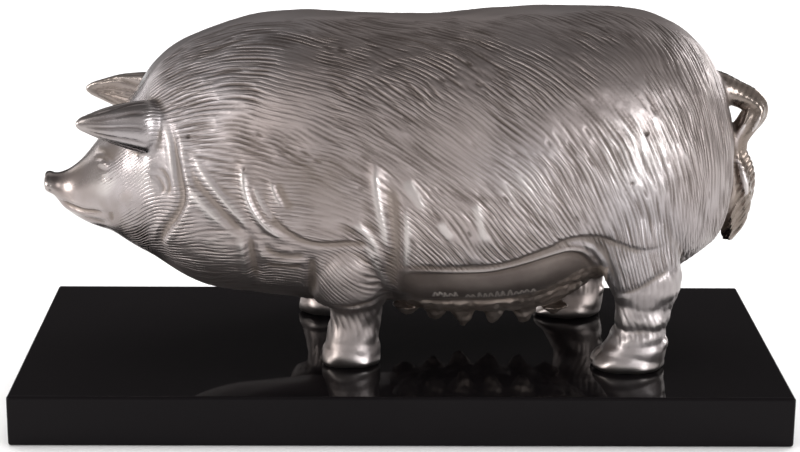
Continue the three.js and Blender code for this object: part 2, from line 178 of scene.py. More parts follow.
def ripple(points, length, seed, waves=20):
    """A smooth random field of about unit size, whose swells are about so long."""
    rng = np.random.default_rng(seed)
    total = np.zeros(points.shape[:-1])
    for _ in range(waves):
        way = rng.normal(size=points.shape[-1])
        way *= 2 * math.pi / (length * rng.uniform(0.7, 1.6) * np.linalg.norm(way))
        total += np.cos(points @ way + rng.uniform(0, 2 * math.pi))
    return total * math.sqrt(2 / waves)


def oval(angles, squareness):
    power = 2 / squareness
    c, s = np.cos(angles), np.sin(angles)
    return np.sign(c) * np.abs(c) ** power, np.sign(s) * np.abs(s) ** power


def turn(count):
    return np.arange(count) * 2 * math.pi / count


def loft(rings):
    """A closed shell through an array of rings, as points and triangles."""
    ring_count, count = rings.shape[:2]
    a = (np.arange(ring_count - 1)[:, None] * count + np.arange(count)).ravel()
    b = (np.arange(ring_count - 1)[:, None] * count + (np.arange(count) + 1) % count).ravel()
    sides = np.concatenate([np.stack([a, b, b + count], 1), np.stack([a, b + count, a + count], 1)])
    points = rings.reshape(-1, 3)
    first = np.arange(count)
    final = first + (ring_count - 1) * count
    middles = np.stack([points[first].mean(0), points[final].mean(0)])
    low_cap = np.stack([np.full(count, len(points)), np.roll(first, -1), first], 1)
    high_cap = np.stack([np.full(count, len(points) + 1), final, np.roll(final, -1)], 1)
    points = np.concatenate([points, middles])
    triangles = np.concatenate([sides, low_cap, high_cap])
    corners = points[triangles]
    volume = np.einsum("ij,ij->", corners[:, 0], np.cross(corners[:, 1], corners[:, 2]))
    return points, triangles if volume > 0 else triangles[:, ::-1]


def body_shape(x):
    """Top, underside, half width and height of the widest line of the body, at places along it."""
    _, top, bottom, half = np.moveaxis(rows_at(BODY, x), -1, 0)
    return top, bottom, half, bottom + (top - bottom) * WIDEST_SHARE


def body_shell():
    x = np.arange(BODY[0][0], BODY[-1][0] + 0.6, 1.0)
    top, bottom, half, middle = (part[:, None] for part in body_shape(x))
    side, rise = oval(turn(180), BODY_SQUARENESS)
    height = middle + rise * np.where(rise > 0, top - middle, middle - bottom)
    return loft(np.stack([np.broadcast_to(x[:, None], height.shape), side * half, height], -1))


def leg_shell(leg):
    height = np.arange(0, leg["stations"][-1][0] + 0.01, 0.5)
    _, front, back, inner, outer = np.moveaxis(rows_at(leg["stations"], height), -1, 0)
    angles = turn(96)
    u, v = oval(angles, LEG_SQUARENESS)
    level = height[:, None]
    trim = np.zeros((len(height), len(angles)))
    backward, forward = np.clip(u, 0, 1) ** 1.5, np.clip(-u, 0, 1) ** 1.5
    for crease_height, depth, width, back_rise, front_rise in leg["creases"]:
        above = level - crease_height - back_rise * backward - front_rise * forward
        trim += depth * (0.7 * bell(above - 2.6 * width, 1.9 * width) - bell(above, width))
    toe = (np.cos(angles) < 0) * bell(np.sin(angles), 0.13)
    trim -= 2.0 * toe * (1 - smooth_step(5.5, 9.5, level))
    nail = 6.8 - 3.2 * smooth_step(-0.2, 0.9, u)
    trim -= 0.3 * bell(level - nail, 1.0)
    trim += 0.25 * bell(level - nail + 2.8, 2.0)
    half_long = (back - front)[:, None] / 2
    half_wide = (outer - inner)[:, None] / 2
    x = ((front + back) / 2 + leg["forward"])[:, None] + u * (half_long + trim)
    spread = leg["outward"] * np.clip(1 - height / HIP_HEIGHT, 0, 1)
    y = leg["side"] * (((inner + outer) / 2 + spread)[:, None] + v * (half_wide + trim))
    return loft(np.stack([x, y, np.broadcast_to(level, x.shape)], -1))


def ball_shell(centre, radii):
    lift = np.linspace(-0.98, 0.98, 15) * math.pi / 2
    angles = turn(24)
    x = np.cos(lift)[:, None] * np.cos(angles)
    y = np.cos(lift)[:, None] * np.sin(angles)
    z = np.broadcast_to(np.sin(lift)[:, None], x.shape)
    return loft(np.array(centre) + np.stack([x, y, z], -1) * np.array(radii))


def ear_shell(side, forward):
    share = np.linspace(0, 1, 60)
    rows = rows_at([[i] + row for i, row in enumerate(EAR)], share * (len(EAR) - 1))[:, 1:]
    x, height, half_height, out, half_thick = (column[:, None] for column in rows.T)
    angles = turn(72)
    inward = np.clip(-np.cos(angles), 0, 1)
    hollow = EAR_CUP * inward ** 2 * smooth_step(0, 0.15, share)[:, None]
    y = out + np.cos(angles) * half_thick * (1 - hollow)
    z = height + np.sin(angles) * half_height
    x = np.broadcast_to(x + forward * (1 - share[:, None]), y.shape)
    return loft(np.stack([x, side * y, z], -1))


def tail_line(count):
    keys = [[i] + row for i, row in enumerate(TAIL)]
    rows = rows_at(keys, np.linspace(0, len(TAIL) - 1, count))[:, 1:]
    return rows[:, :3], rows[:, 3]


def tail_shell():
    middle, radius = tail_line(150)
    way = np.gradient(middle, axis=0)
    way /= np.linalg.norm(way, axis=1, keepdims=True)
    flat = np.array([0, 1.0, 0]) - way * way[:, 1:2]
    flat /= np.linalg.norm(flat, axis=1, keepdims=True)
    thick = np.cross(way, flat)
    run = np.cumsum(np.linalg.norm(np.gradient(middle, axis=0), axis=1))
    angles = turn(60)
    strand = np.cos(TAIL_STRANDS * angles + TAIL_TWIST * 2 * math.pi * run[:, None] / run[-1])
    size = radius[:, None] * (1 + 0.13 * strand * smooth_step(8, 30, run)[:, None])
    rings = middle[:, None] + flat[:, None] * (size * np.cos(angles))[..., None]
    return loft(rings + thick[:, None] * (size * np.sin(angles))[..., None])


def udder_shell():
    x = np.arange(UDDER[0][0], UDDER[-1][0] + 0.01, 1.0)
    _, half, bottom = (column[:, None] for column in rows_at(UDDER, x).T)
    angles = turn(72)
    middle = (UDDER_TOP + bottom) / 2
    z = middle + np.sin(angles) * (UDDER_TOP - bottom) / 2
    return loft(np.stack([np.broadcast_to(x[:, None], z.shape), np.cos(angles) * half, z], -1))


def teat_shell(x, tip, side):
    rows = rows_at(TEAT_PROFILE, np.linspace(0, 1, 16))
    radius = TEAT_ROOT_RADIUS * rows[:, 1:]
    z = TEAT_ROOT + (tip - TEAT_ROOT) * rows[:, :1]
    angles = turn(24)
    ring_x = x + radius * np.cos(angles)
    ring_y = side * TEAT_OUT + radius * np.sin(angles)
    return loft(np.stack([ring_x, ring_y, np.broadcast_to(z, ring_x.shape)], -1))


def pig_shells():
    shells = [body_shell(), udder_shell(), tail_shell()]
    for side in (-1, 1):
        shells.append(ear_shell(side, FAR_EAR_FORWARD if side > 0 else 0))
        shells += [teat_shell(x, tip, side) for x, tip in TEATS]
    for leg in LEGS:
        shells.append(leg_shell(leg))
        if leg["stations"] is HIND_LEG:
            _, _, back, inner, outer = rows_at(leg["stations"], DEWCLAW["height"])
            for apart in (-DEWCLAW["apart"], DEWCLAW["apart"]):
                out = leg["side"] * ((inner + outer) / 2 + leg["outward"] + apart)
                centre = [back + leg["forward"] - DEWCLAW["inset"], out, DEWCLAW["height"]]
                shells.append(ball_shell(centre, DEWCLAW["radii"]))
    return shells


def new_object(name, content):
    thing = bpy.data.objects.new(name, content)
    bpy.context.scene.collection.objects.link(thing)
    return thing


def with_modifiers(thing):
    """The mesh that a thing's modifiers make of it. The thing itself is taken away."""
    graph = bpy.context.evaluated_depsgraph_get()
    mesh = bpy.data.meshes.new_from_object(thing.evaluated_get(graph))
    bpy.data.objects.remove(thing)
    return mesh


def fused(shells):
    """One skin around all the shells."""
    starts = np.cumsum([0] + [len(points) for points, _ in shells])
    points = np.concatenate([points for points, _ in shells])
    triangles = np.concatenate([triangles + start for (_, triangles), start in zip(shells, starts)])
    mesh = bpy.data.meshes.new("shells")
    mesh.from_pydata(points, [], triangles)
    thing = new_object("shells", mesh)
    fuse = thing.modifiers.new("fuse", "REMESH")
    fuse.mode = "VOXEL"
    fuse.voxel_size = VOXEL
    return with_modifiers(thing)


def points_of(mesh):
    flat = np.empty(len(mesh.vertices) * 3)
    mesh.vertices.foreach_get("co", flat)
    return flat.reshape(-1, 3)


def normals_of(mesh, points):
    mesh.vertices.foreach_set("co", points.ravel())
    mesh.update()
    flat = np.empty(len(mesh.vertices) * 3)
    mesh.vertex_normals.foreach_get("vector", flat)
    return flat.reshape(-1, 3)


def edges_of(mesh):
    flat = np.empty(len(mesh.edges) * 2, dtype=np.int64)
    mesh.edges.foreach_get("vertices", flat)
    return flat.reshape(-1, 2)


def triangle_corners(mesh):
    mesh.calc_loop_triangles()
    flat = np.empty(len(mesh.loop_triangles) * 3, dtype=np.int64)
    mesh.loop_triangles.foreach_get("vertices", flat)
    return flat.reshape(-1, 3)


def add_surface(mesh, name, values):
    attribute = mesh.attributes.new(name, "FLOAT", "POINT")
    attribute.data.foreach_set("value", values.astype(np.float32))


def surface_of(mesh, name):
    flat = np.empty(len(mesh.vertices), dtype=np.float32)
    mesh.attributes[name].data.foreach_get("value", flat)
    return flat


def relaxed(values, edges, rounds, share):
    """Values at points, evened out with their neighbours, by a share that may differ per point."""
    a, b = edges.T
    count = len(values)
    links = np.bincount(a, minlength=count) + np.bincount(b, minlength=count)
    values = values.copy()
    for _ in range(rounds):
        for k in range(values.shape[1]):
            column = values[:, k]
            around = np.bincount(a, column[b], count) + np.bincount(b, column[a], count)
            values[:, k] = column + share * (around / links - column)
    return values


class Chart:
    """A flat map of a stretch of skin. Lines are drawn on it, and it is read at places of the skin."""

    def __init__(self, low, high, step):
        self.low = np.array(low, float)
        self.step = step
        self.shape = tuple(int((h - l) / step) + 2 for l, h in zip(low, high))
        self.values = np.zeros(self.shape)

    def places(self):
        rows = self.low[0] + np.arange(self.shape[0]) * self.step
        columns = self.low[1] + np.arange(self.shape[1]) * self.step
        return np.meshgrid(rows, columns, indexing="ij")

    def read(self, u, v):
        i = np.clip((u - self.low[0]) / self.step, 0, self.shape[0] - 1.001)
        j = np.clip((v - self.low[1]) / self.step, 0, self.shape[1] - 1.001)
        i0, j0 = i.astype(int), j.astype(int)
        fi, fj = i - i0, j - j0
        values = self.values
        near = values[i0, j0] * (1 - fj) + values[i0, j0 + 1] * fj
        far = values[i0 + 1, j0] * (1 - fj) + values[i0 + 1, j0 + 1] * fj
        return near * (1 - fi) + far * fi

    def soften(self):
        for axis in (0, 1):
            around = np.roll(self.values, 1, axis) + np.roll(self.values, -1, axis)
            self.values = self.values * 0.5 + around * 0.25


def smooth_line(points, per_span=5):
    keys = [[i, *point] for i, point in enumerate(points)]
    return rows_at(keys, np.linspace(0, len(points) - 1, (len(points) - 1) * per_span + 1))[:, 1:]


def line_distance(u, v, line):
    """Distance from places to a line, which side they are on, and how far along it they are."""
    best = np.full(u.shape, 1e9)
    side = np.zeros(u.shape)
    share = np.zeros(u.shape)
    spans = len(line) - 1
    for k in range(spans):
        (au, av), (bu, bv) = line[k], line[k + 1]
        du, dv = bu - au, bv - av
        t = np.clip(((u - au) * du + (v - av) * dv) / (du * du + dv * dv), 0, 1)
        eu, ev = u - au - t * du, v - av - t * dv
        distance = np.hypot(eu, ev)
        closer = distance < best
        best = np.where(closer, distance, best)
        side = np.where(closer, np.sign(du * (v - av) - dv * (u - au)), side)
        share = np.where(closer, (k + t) / spans, share)
    return best, side, share


# Folds of skin on the flanks, as lines of along and height. Each has a width and a depth, which is below
# zero for a ridge. A lip swells beside it. A step raises one hand of the line above the other, and dies
# away in its reach.
FOLDS = [
    {"line": [(-92.5, 101), (-88, 92), (-86, 81), (-84.3, 70), (-86.5, 63), (-92, 54.5), (-93.8, 48),
              (-90, 39)],
     "width": 1.4, "depth": 0.9, "lip": 0.35, "step": 1.2, "reach": 10},
    {"line": [(-94.5, 104), (-91.5, 97), (-89.4, 90), (-88.4, 82), (-88.2, 74)], "width": 1.6, "depth": -0.5},
    {"line": [(1.2, 83), (2.7, 78), (6, 72.6), (9.2, 67)], "width": 2.2, "depth": -0.45},
    {"line": [(26.4, 74), (28, 69.6), (29.4, 63), (31, 58), (35, 54.6)], "width": 2.0, "depth": -0.5},
    {"line": [(13.6, 66), (16, 60.6), (20, 56.4)], "width": 1.8, "depth": -0.4},
    {"line": [(-81, 88.5), (-77.8, 83), (-73.1, 76.8), (-67.1, 69.3), (-61.3, 62.6), (-57.5, 57.2)],
     "width": 1.7, "depth": -0.7},
    {"line": [(-78.6, 86), (-74.4, 79.6), (-69.5, 74.2), (-63, 67.5)], "width": 1.5, "depth": 0.45},
    {"line": [(-84, 83.6), (-77.1, 74.4), (-71.3, 67.9), (-64, 60), (-58.6, 55)], "width": 1.7, "depth": 0.8,
     "lip": 0.3},
    {"line": [(-82, 74), (-76, 66.5), (-69, 59.5)], "width": 2.2, "depth": -0.5},
    {"line": [(-58.2, 60), (-58.2, 52), (-57.8, 46), (-57.2, 40), (-56.6, 31)], "width": 1.7, "depth": 1.2,
     "lip": 0.4, "step": -0.6, "reach": 8},
    {"line": [(-60.2, 88), (-60.6, 81), (-59.6, 74), (-57.2, 67.6), (-53.2, 62), (-47.4, 57.4), (-42, 54.4)],
     "width": 1.8, "depth": -1.6},
    {"line": [(-57, 79), (-56, 74.6), (-54.2, 70.4), (-50.8, 65.6), (-46, 61.4)], "width": 1.4,
     "depth": -0.65},
    {"line": [(-58.4, 78), (-57.6, 74), (-56.4, 70), (-53, 64.4), (-48, 59.8), (-42, 56.8)], "width": 1.1,
     "depth": 0.7},
    {"line": [(-53.6, 76), (-52.4, 71), (-49.6, 65.4), (-44.6, 59.4), (-38, 55.6), (-31.6, 54.4), (-25, 54.6),
              (-19, 55), (-13.2, 54), (-9.6, 50)], "width": 1.1, "depth": 0.75, "lip": 0.2, "step": 0.6,
     "reach": 7},
    {"line": [(-50.4, 80.1), (-49, 75.6), (-47, 71.4), (-44, 67.8)], "width": 1.2, "depth": -0.6},
    {"line": [(-48.4, 79.4), (-46.8, 74.8), (-44.4, 70.6), (-41, 67)], "width": 1.3, "depth": 0.5},
    {"line": [(-55, 55), (-51, 50.4), (-46, 48.4), (-40, 48.2), (-36, 49)], "width": 1.4, "depth": 0.5,
     "lip": 0.2},
    {"line": [(-56.6, 44.8), (-50.9, 43.4), (-45, 43.2), (-40, 43.6), (-36.4, 45.6)], "width": 1.3,
     "depth": 0.7, "step": 1.2, "reach": 7},
    {"line": [(-34.4, 49.5), (-34.8, 43), (-35, 36), (-35, 29)], "width": 1.5, "depth": 1.1, "lip": 0.3},
    {"line": [(-34.4, 27.6), (-28, 26), (-20, 26.4), (-12, 28.4), (-6, 31)], "width": 1.4, "depth": 0.7,
     "step": 0.9, "reach": 5},
    {"line": [(-20.4, 66), (-16.8, 62.6), (-12.6, 58), (-9.8, 53), (-7.6, 47), (-6.2, 40)], "width": 1.8,
     "depth": -1.1},
    {"line": [(-15.5, 55.4), (-12.4, 52), (-10.4, 47)], "width": 1.7, "depth": -0.7},
    {"line": [(-11.4, 92), (-10.6, 83), (-9.8, 74), (-8.2, 66), (-6.4, 57), (-5.2, 48)], "width": 2.4,
     "depth": -1.1},
    {"line": [(-10.4, 60), (-8.2, 52), (-6.2, 44), (-4, 37), (-2.6, 31)], "width": 1.5, "depth": 0.6},
    {"line": [(-13.4, 52), (-10, 45), (-7, 38), (-4.4, 32)], "width": 1.6, "depth": -0.6},
    {"line": [(-5.2, 86), (-3.8, 74), (-2.8, 63), (-2.2, 52), (-2, 42), (-2, 31)], "width": 2.4,
     "depth": 1.5},
    {"line": [(0.6, 74), (1.4, 62), (1.4, 51), (0.6, 41), (-0.6, 33)], "width": 1.7, "depth": -0.6},
    {"line": [(-2.4, 44.8), (10.7, 44.6), (20, 44.6), (33.3, 45), (42, 46.6), (48.4, 49.2), (57, 52.8),
              (61.3, 55.4), (67.8, 57), (75.3, 56.6), (83, 53.6), (90, 51.6), (96, 51.2), (103, 52.6),
              (108, 55)],
     "width": 1.1, "depth": 0.9, "step": 1.1, "reach": 8},
    {"line": [(-2, 43), (10, 42.6), (20, 42.5), (33, 43), (42, 44.8), (50.8, 47.8), (59.5, 50.8), (64, 51.8),
              (69, 51), (73, 47.4), (76.8, 41.8), (79.6, 34.8)], "width": 0.75, "depth": -0.6},
    {"line": [(-2, 41.4), (10, 40.9), (20, 40.8), (33, 41.4), (42, 43.2), (50.8, 46.2), (59.5, 49),
              (64, 49.8), (68, 48.8), (71.4, 45.4), (75, 39.8), (77.8, 32.8)], "width": 1.1, "depth": 0.55,
     "step": 0.5, "reach": 7},
    {"line": [(-1, 27.6), (8, 25.6), (16, 24.6), (30, 24.8), (42, 26.6), (50, 29.2), (57, 32.6), (63, 37),
              (68, 41)], "width": 1.1, "depth": 0.5, "step": -0.8, "reach": 6},
    {"line": [(66, 56.6), (72, 54.8), (77, 50), (80.8, 42), (83.4, 33)], "width": 1.4, "depth": 0.55},
    {"line": [(68, 54.4), (73.4, 51.6), (77.4, 46), (80.6, 38)], "width": 1.0, "depth": -0.4},
    {"line": [(80, 31.6), (86, 32.6), (92, 35.4), (97, 39), (103, 42), (110, 43.4)], "width": 1.8,
     "depth": 0.5, "step": 1.0, "reach": 6},
]
# Mouth, chin, eye, cheek and the folds below the ear
FACE = [
    {"line": [(-139.4, 61.4), (-135, 58.8), (-130.3, 57.4), (-125.3, 57.0), (-119.8, 57.6), (-114.8, 57.4)],
     "width": 0.9, "depth": 0.8, "lip": 0.3},
    {"line": [(-128.6, 54.4), (-124.2, 54), (-119.6, 53.4), (-115.4, 53.4)], "width": 1.0, "depth": 0.35},
    {"line": [(-114.9, 59.4), (-114.2, 57), (-114.6, 53.8)], "width": 1.1, "depth": 0.3},
    {"line": [(-121.2, 77.4), (-119.4, 79.2), (-116.6, 79.6), (-113.4, 77.8)], "width": 0.8, "depth": 0.32,
     "lip": 0.12},
    {"line": [(-120.6, 76.6), (-118.4, 75.4), (-115.6, 75.6), (-113.4, 77)], "width": 0.7, "depth": 0.25},
    {"line": [(-121.6, 80.2), (-118.4, 82.2), (-114.6, 81.6), (-112, 78.4)], "width": 1.0, "depth": 0.3},
    {"line": [(-112.8, 75), (-115, 72.8), (-118, 72.4)], "width": 0.9, "depth": 0.25},
    {"line": [(-98.6, 77.6), (-94.4, 76), (-92.2, 71.8), (-95, 69)], "width": 0.8, "depth": 0.5},
    {"line": [(-97.4, 80.4), (-92, 78.6), (-89.8, 72.6), (-92.4, 67)], "width": 0.8, "depth": 0.5},
]
EYEBALL = {"along": -117.2, "height": 77.7, "radius": 1.3, "swell": 0.3}
# Small casting flaws, by place along and height
PIT_RADIUS = 0.55
PITS = [(-82, 93.2), (-60.2, 83), (92.3, 97.4), (87, 78.9)]


def fold_relief(x, height):
    """How far the folds stand out of the flank, where they cover it, and their tone: brown patina with
    painted shade along the grooves, and a painted highlight along the ridges.
    """
    relief, cover, fold_shade_and_sheen = np.zeros((3, *x.shape))
    for fold in FOLDS + FACE:
        line = smooth_line(fold["line"])
        reach = fold.get("reach", 0)
        room = max(3.2 * fold["width"], 2.0 * reach)
        inside = (x > line[:, 0].min() - room) & (x < line[:, 0].max() + room)
        inside &= (height > line[:, 1].min() - room) & (height < line[:, 1].max() + room)
        distance, side, share = line_distance(x[inside], height[inside], line)
        fade = smooth_step(-0.02, 0.28, share) * smooth_step(-0.02, 0.28, 1 - share)
        part = -fold["depth"] * bell(distance, 1.1 * fold["width"])
        part += fold.get("lip", 0) * bell(distance - 2.1 * fold["width"], 1.1 * fold["width"])
        if reach:
            part += fold["step"] * side * (1 - bell(distance, fold["width"])) * bell(distance, reach) * 0.5
        relief[inside] += part * fade
        cover[inside] = np.maximum(cover[inside], bell(distance, 0.8 * fold["width"]) * fade)
        # Grooves are painted darker, patina with painted shade, and ridges lighter, a painted highlight.
        sign = 1 if fold["depth"] > 0 else -1
        fold_shade_and_sheen[inside] += sign * bell(distance, 1.2 * fold["width"]) * fade ** 2
    off = np.hypot(x - EYEBALL["along"], height - EYEBALL["height"])
    return relief + EYEBALL["swell"] * bell(off, EYEBALL["radius"]), cover, np.clip(fold_shade_and_sheen, -1, 1)


# Places on the near side painted lighter and darker: place along, height, radius, and how much darker. Below
# zero is a painted highlight; above zero is a brown stain on the face and painted shade on the flank and
# back.
HIGHLIGHTS_SHADE_AND_STAINS = [
    (90, 90, 17, -0.16), (45, 78, 10, -0.10), (56, 120, 5, -0.10), (-117, 71, 6, -0.30), (-101, 74, 6, -0.14),
    (-70, 48, 13, -0.08), (-32, 78, 19, 0.11), (-131, 76, 7, 0.20), (-108, 67, 6, 0.16), (-112, 84, 6, 0.16),
    (20, 131, 22, 0.04), (-62, 108, 12, 0.04),
]

# The lie of the hair: at a place along and a height, the slope of the strokes below the level, in degrees
LIE = [
    (-86, 122, -12), (-78, 122, 2), (-80, 112, 14), (-70, 100, 22), (-60, 124, 12), (-39, 124, 22),
    (-39, 106, 28), (0, 128, 28), (0, 109, 38), (38, 127, 38), (38, 101, 45), (76, 128, 40),
    (76, 108, 48), (107, 113, 54), (115, 98, 68), (119, 70, 88), (96, 90, 62), (84, 80, 66),
    (96, 63, 76), (72, 71, 58), (61, 60, 50), (38, 63, 48), (19, 55, 46), (7, 71, 52), (5, 50, 62),
    (-20, 100, 32), (-24, 80, 22), (-32, 67, 6), (-39, 59, 3), (-16, 71, 30), (-12, 61, 48),
    (-51, 92, 30), (-66, 88, 38), (-74, 71, 42), (-70, 59, 24), (-78, 50, 16), (-62, 48, 8),
    (-47, 50, 18), (-45, 38, 2), (-22, 44, 35), (-97, 59, 42), (-100, 75, 60), (92, 44, 56),
    (76, 44, 62), (80, 36, 84), (112, 48, 98), (20, 85, 44),
]
# Upper edges of the bare belly panel and of the udder below it
SMOOTH_PANEL = [(-1.8, 43), (20, 42.4), (33.4, 42.9), (42, 44.7), (50.8, 47.7), (59.5, 50.6), (64, 51.6),
                (69, 50.8), (73, 47.2), (76.8, 41.6), (80, 33)]
UDDER_EDGE = [(-1, 27.6), (8, 25.6), (16, 24.6), (30, 24.8), (42, 26.6), (50, 29.2), (57, 32.6), (63, 37),
              (68, 41), (80, 44)]

# Hair: depth of a full stroke, then for each flank the pitch and half width of its strokes and its seed.
# Finer lines run between the strokes, closer together on the cheek than on the flank.
HAIR_DEPTH = 0.5
HAIR = [
    {"side": -1, "pitch": 1.8, "half_width": 0.55, "seed": 11},
    {"side": 1, "pitch": 3.2, "half_width": 1.0, "seed": 23},
]
FINE_PITCH = (1.2, 1.55)
FINE_ROUNDS = 700
LEAST_ROOM = 0.3


def lie_of_hair(x, height):
    """The slope of the hair at places of the flank, in radians below the level."""
    across, down = np.zeros((2, *x.shape))
    for place, level, slope in LIE:
        weight = 1 / (((x - place) ** 2 + (height - level) ** 2) / 100 + 0.6) ** 2
        across += weight * math.cos(math.radians(slope))
        down += weight * math.sin(math.radians(slope))
    return np.arctan2(down, across)


class FlankMap:
    """Unrolls one flank: distance along the flank from the snout, and girth down from the crest."""

    STEP = 0.5
    SLICES = 120

    def __init__(self):
        self.x = np.arange(BODY[0][0], BODY[-1][0] + 0.01, self.STEP)
        top, bottom, half, middle = body_shape(self.x)
        self.run = np.concatenate([[0], np.cumsum(np.hypot(np.diff(self.x), np.diff(half)))])
        lift = np.linspace(math.pi / 2, -math.pi / 2, self.SLICES + 1)
        side, rise = oval(lift, BODY_SQUARENESS)
        y = half[:, None] * side
        z = middle[:, None] + rise * np.where(rise > 0, (top - middle)[:, None], (middle - bottom)[:, None])
        steps = np.hypot(np.diff(y, axis=1), np.diff(z, axis=1))
        self.girth = np.concatenate([np.zeros((len(self.x), 1)), np.cumsum(steps, axis=1)], axis=1)
        self.height = z

    def unroll(self, points):
        """Places of the unrolled map for points of the skin."""
        x = np.clip(points[:, 0], self.x[0], self.x[-1])
        top, bottom, half, middle = body_shape(x)
        up = (points[:, 2] - middle) / np.where(points[:, 2] > middle, top - middle, middle - bottom)
        out = np.abs(points[:, 1]) / half
        power = BODY_SQUARENESS / 2
        lift = np.arctan2(np.sign(up) * np.abs(up) ** power, out ** power)
        i = np.clip((x - self.x[0]) / self.STEP, 0, len(self.x) - 1.001)
        j = np.clip((math.pi / 2 - lift) / math.pi * self.SLICES, 0, self.SLICES - 0.001)
        i0, j0 = i.astype(int), j.astype(int)
        fi, fj = i - i0, j - j0
        near = self.girth[i0, j0] * (1 - fj) + self.girth[i0, j0 + 1] * fj
        far = self.girth[i0 + 1, j0] * (1 - fj) + self.girth[i0 + 1, j0 + 1] * fj
        return np.interp(points[:, 0], self.x, self.run), near * (1 - fi) + far * fi

    def roll_up(self, run, girth):
        """Places along and heights for places of the unrolled map, and the girth that is there in all."""
        x = np.interp(run, self.run, self.x)
        i = np.clip(np.round((x - self.x[0]) / self.STEP).astype(int), 0, len(self.x) - 1)
        height = np.empty(x.shape)
        for k in np.unique(i):
            here = i == k
            height[here] = np.interp(girth[here], self.girth[k], self.height[k])
        return x, height, self.girth[i, -1]


def panel_edge(x):
    """Height of the belly panel's upper edge at places along."""
    return np.interp(x, *np.array(SMOOTH_PANEL).T)


def hair_room(x, height, girth, full_girth):
    """Where hair is chased: 1 in the coat, 0 on the face, the belly and the crest."""
    room = smooth_step(-3, 4, x + 97 + 14 * smooth_step(75, 56, height))
    room *= smooth_step(5, 11, girth + 2.5 * ripple(np.stack([x, height], -1), 22, 3))
    over_panel = (x > SMOOTH_PANEL[0][0]) & (x < SMOOTH_PANEL[-1][0])
    room[over_panel & (height < panel_edge(x) + 0.8)] = 0
    return room * (girth < full_girth - 12) * (height > 22)


def swaying_lie(run, girth, x, height, seed):
    """The lie of the hair as a hand draws it, never quite straight."""
    places = np.stack([run, girth], -1)
    sway = 4 * ripple(places, 46, seed) + 3 * ripple(places, 20, seed + 1)
    return lie_of_hair(x, height) + np.radians(sway)


def fine_lines(flank, seed):
    """Counts fine lines across the lie of the hair, over one flank, and says where there is room for them.

    The count is the smooth field whose climb comes closest to one line per pitch, square to the hair."""
    far_corner = (flank.run[-1], flank.girth.max())
    count, room = Chart((0, 0), far_corner, 1.0), Chart((0, 0), far_corner, 1.0)
    run, girth = count.places()
    x, height, full_girth = flank.roll_up(run, girth)
    temple = 0.8 * smooth_step(-121, -108, x) * smooth_step(-86, -92, x) * smooth_step(3, 8, girth)
    temple *= smooth_step(62, 70, height)
    room.values = np.maximum(hair_room(x, height, girth, full_girth), temple)
    lie = swaying_lie(run, girth, x, height, seed)
    pitch = FINE_PITCH[0] + (FINE_PITCH[1] - FINE_PITCH[0]) * smooth_step(-85, -10, x)
    climb_run, climb_girth = -np.sin(lie) / pitch, np.cos(lie) / pitch

    def gathered(along_run, along_girth):
        total = np.zeros(count.shape)
        total[1:] += along_run
        total[:-1] -= along_run
        total[:, 1:] += along_girth
        total[:, :-1] -= along_girth
        return total

    left = gathered((climb_run[1:] + climb_run[:-1]) / 2, (climb_girth[:, 1:] + climb_girth[:, :-1]) / 2)
    way = left.copy()
    size = (left ** 2).sum()
    for _ in range(FINE_ROUNDS):
        pushed = gathered(np.diff(way, axis=0), np.diff(way, axis=1))
        stride = size / (way * pushed).sum()
        count.values += stride * way
        left -= stride * pushed
        size_before, size = size, (left ** 2).sum()
        way = left + way * (size / size_before)
    return count, room


def comb(flank, pitch, seed):
    """Evenly spaced strokes that follow the lie of the hair over one unrolled flank."""
    cell, margin, stride = 0.5, 8, 1.6
    chart = Chart((0, 0), (flank.run[-1], flank.girth.max()), cell)
    run, girth = chart.places()
    x, height, full_girth = flank.roll_up(run, girth)
    lie = swaying_lie(run, girth, x, height, seed)
    cos, sin = np.cos(lie).tolist(), np.sin(lie).tolist()
    room = hair_room(x, height, girth, full_girth).tolist()
    rows, columns = chart.shape
    gap = np.full((rows + 2 * margin, columns + 2 * margin), 99.0)
    reach = int(pitch / cell) + 1
    offset = np.stack(np.meshgrid(range(-reach, reach + 1), range(-reach, reach + 1), indexing="ij"), -1)
    offset = offset.reshape(-1, 2)
    offset_length = np.hypot(*offset.T) * cell
    fineness = smooth_step(-85, -30, x[:, 0])
    rng = random.Random(seed)
    between = 2.2
    starts = [(u, v) for u in np.arange(1, rows - 1, between) for v in np.arange(1, columns - 1, between)]
    rng.shuffle(starts)
    strokes = []
    for least, (u, v) in [(0.95, start) for start in starts] + [(0.74, start) for start in starts]:
        u += rng.uniform(-1, 1)
        v += rng.uniform(-1, 1)
        if not (0 <= u < rows and 0 <= v < columns) or room[int(u)][int(v)] < LEAST_ROOM:
            continue
        spacing = pitch * (0.86 + 0.14 * fineness[int(u)])
        if gap[int(u) + margin, int(v) + margin] < spacing * least:
            continue
        half = rng.uniform(10, 21) / cell
        halves = []
        for way in (-1, 1):
            pu, pv, gone, path = u, v, 0.0, []
            while gone < half:
                iu, iv = int(pu), int(pv)
                if not (0 <= iu < rows and 0 <= iv < columns) or room[iu][iv] < LEAST_ROOM:
                    break
                if gap[iu + margin, iv + margin] < spacing * 0.55:
                    break
                path.append((pu, pv))
                pu += way * stride * cos[iu][iv]
                pv += way * stride * sin[iu][iv]
                gone += stride
            halves.append(path)
        stroke = np.array(halves[0][:0:-1] + halves[1])
        if len(stroke) < 5:
            continue
        strokes.append(stroke * cell)
        cells = (np.round(stroke)[:, None].astype(int) + offset).reshape(-1, 2) + margin
        cells = np.clip(cells, 0, [gap.shape[0] - 1, gap.shape[1] - 1])
        np.minimum.at(gap, (cells[:, 0], cells[:, 1]), np.tile(offset_length, len(stroke)))
    return strokes


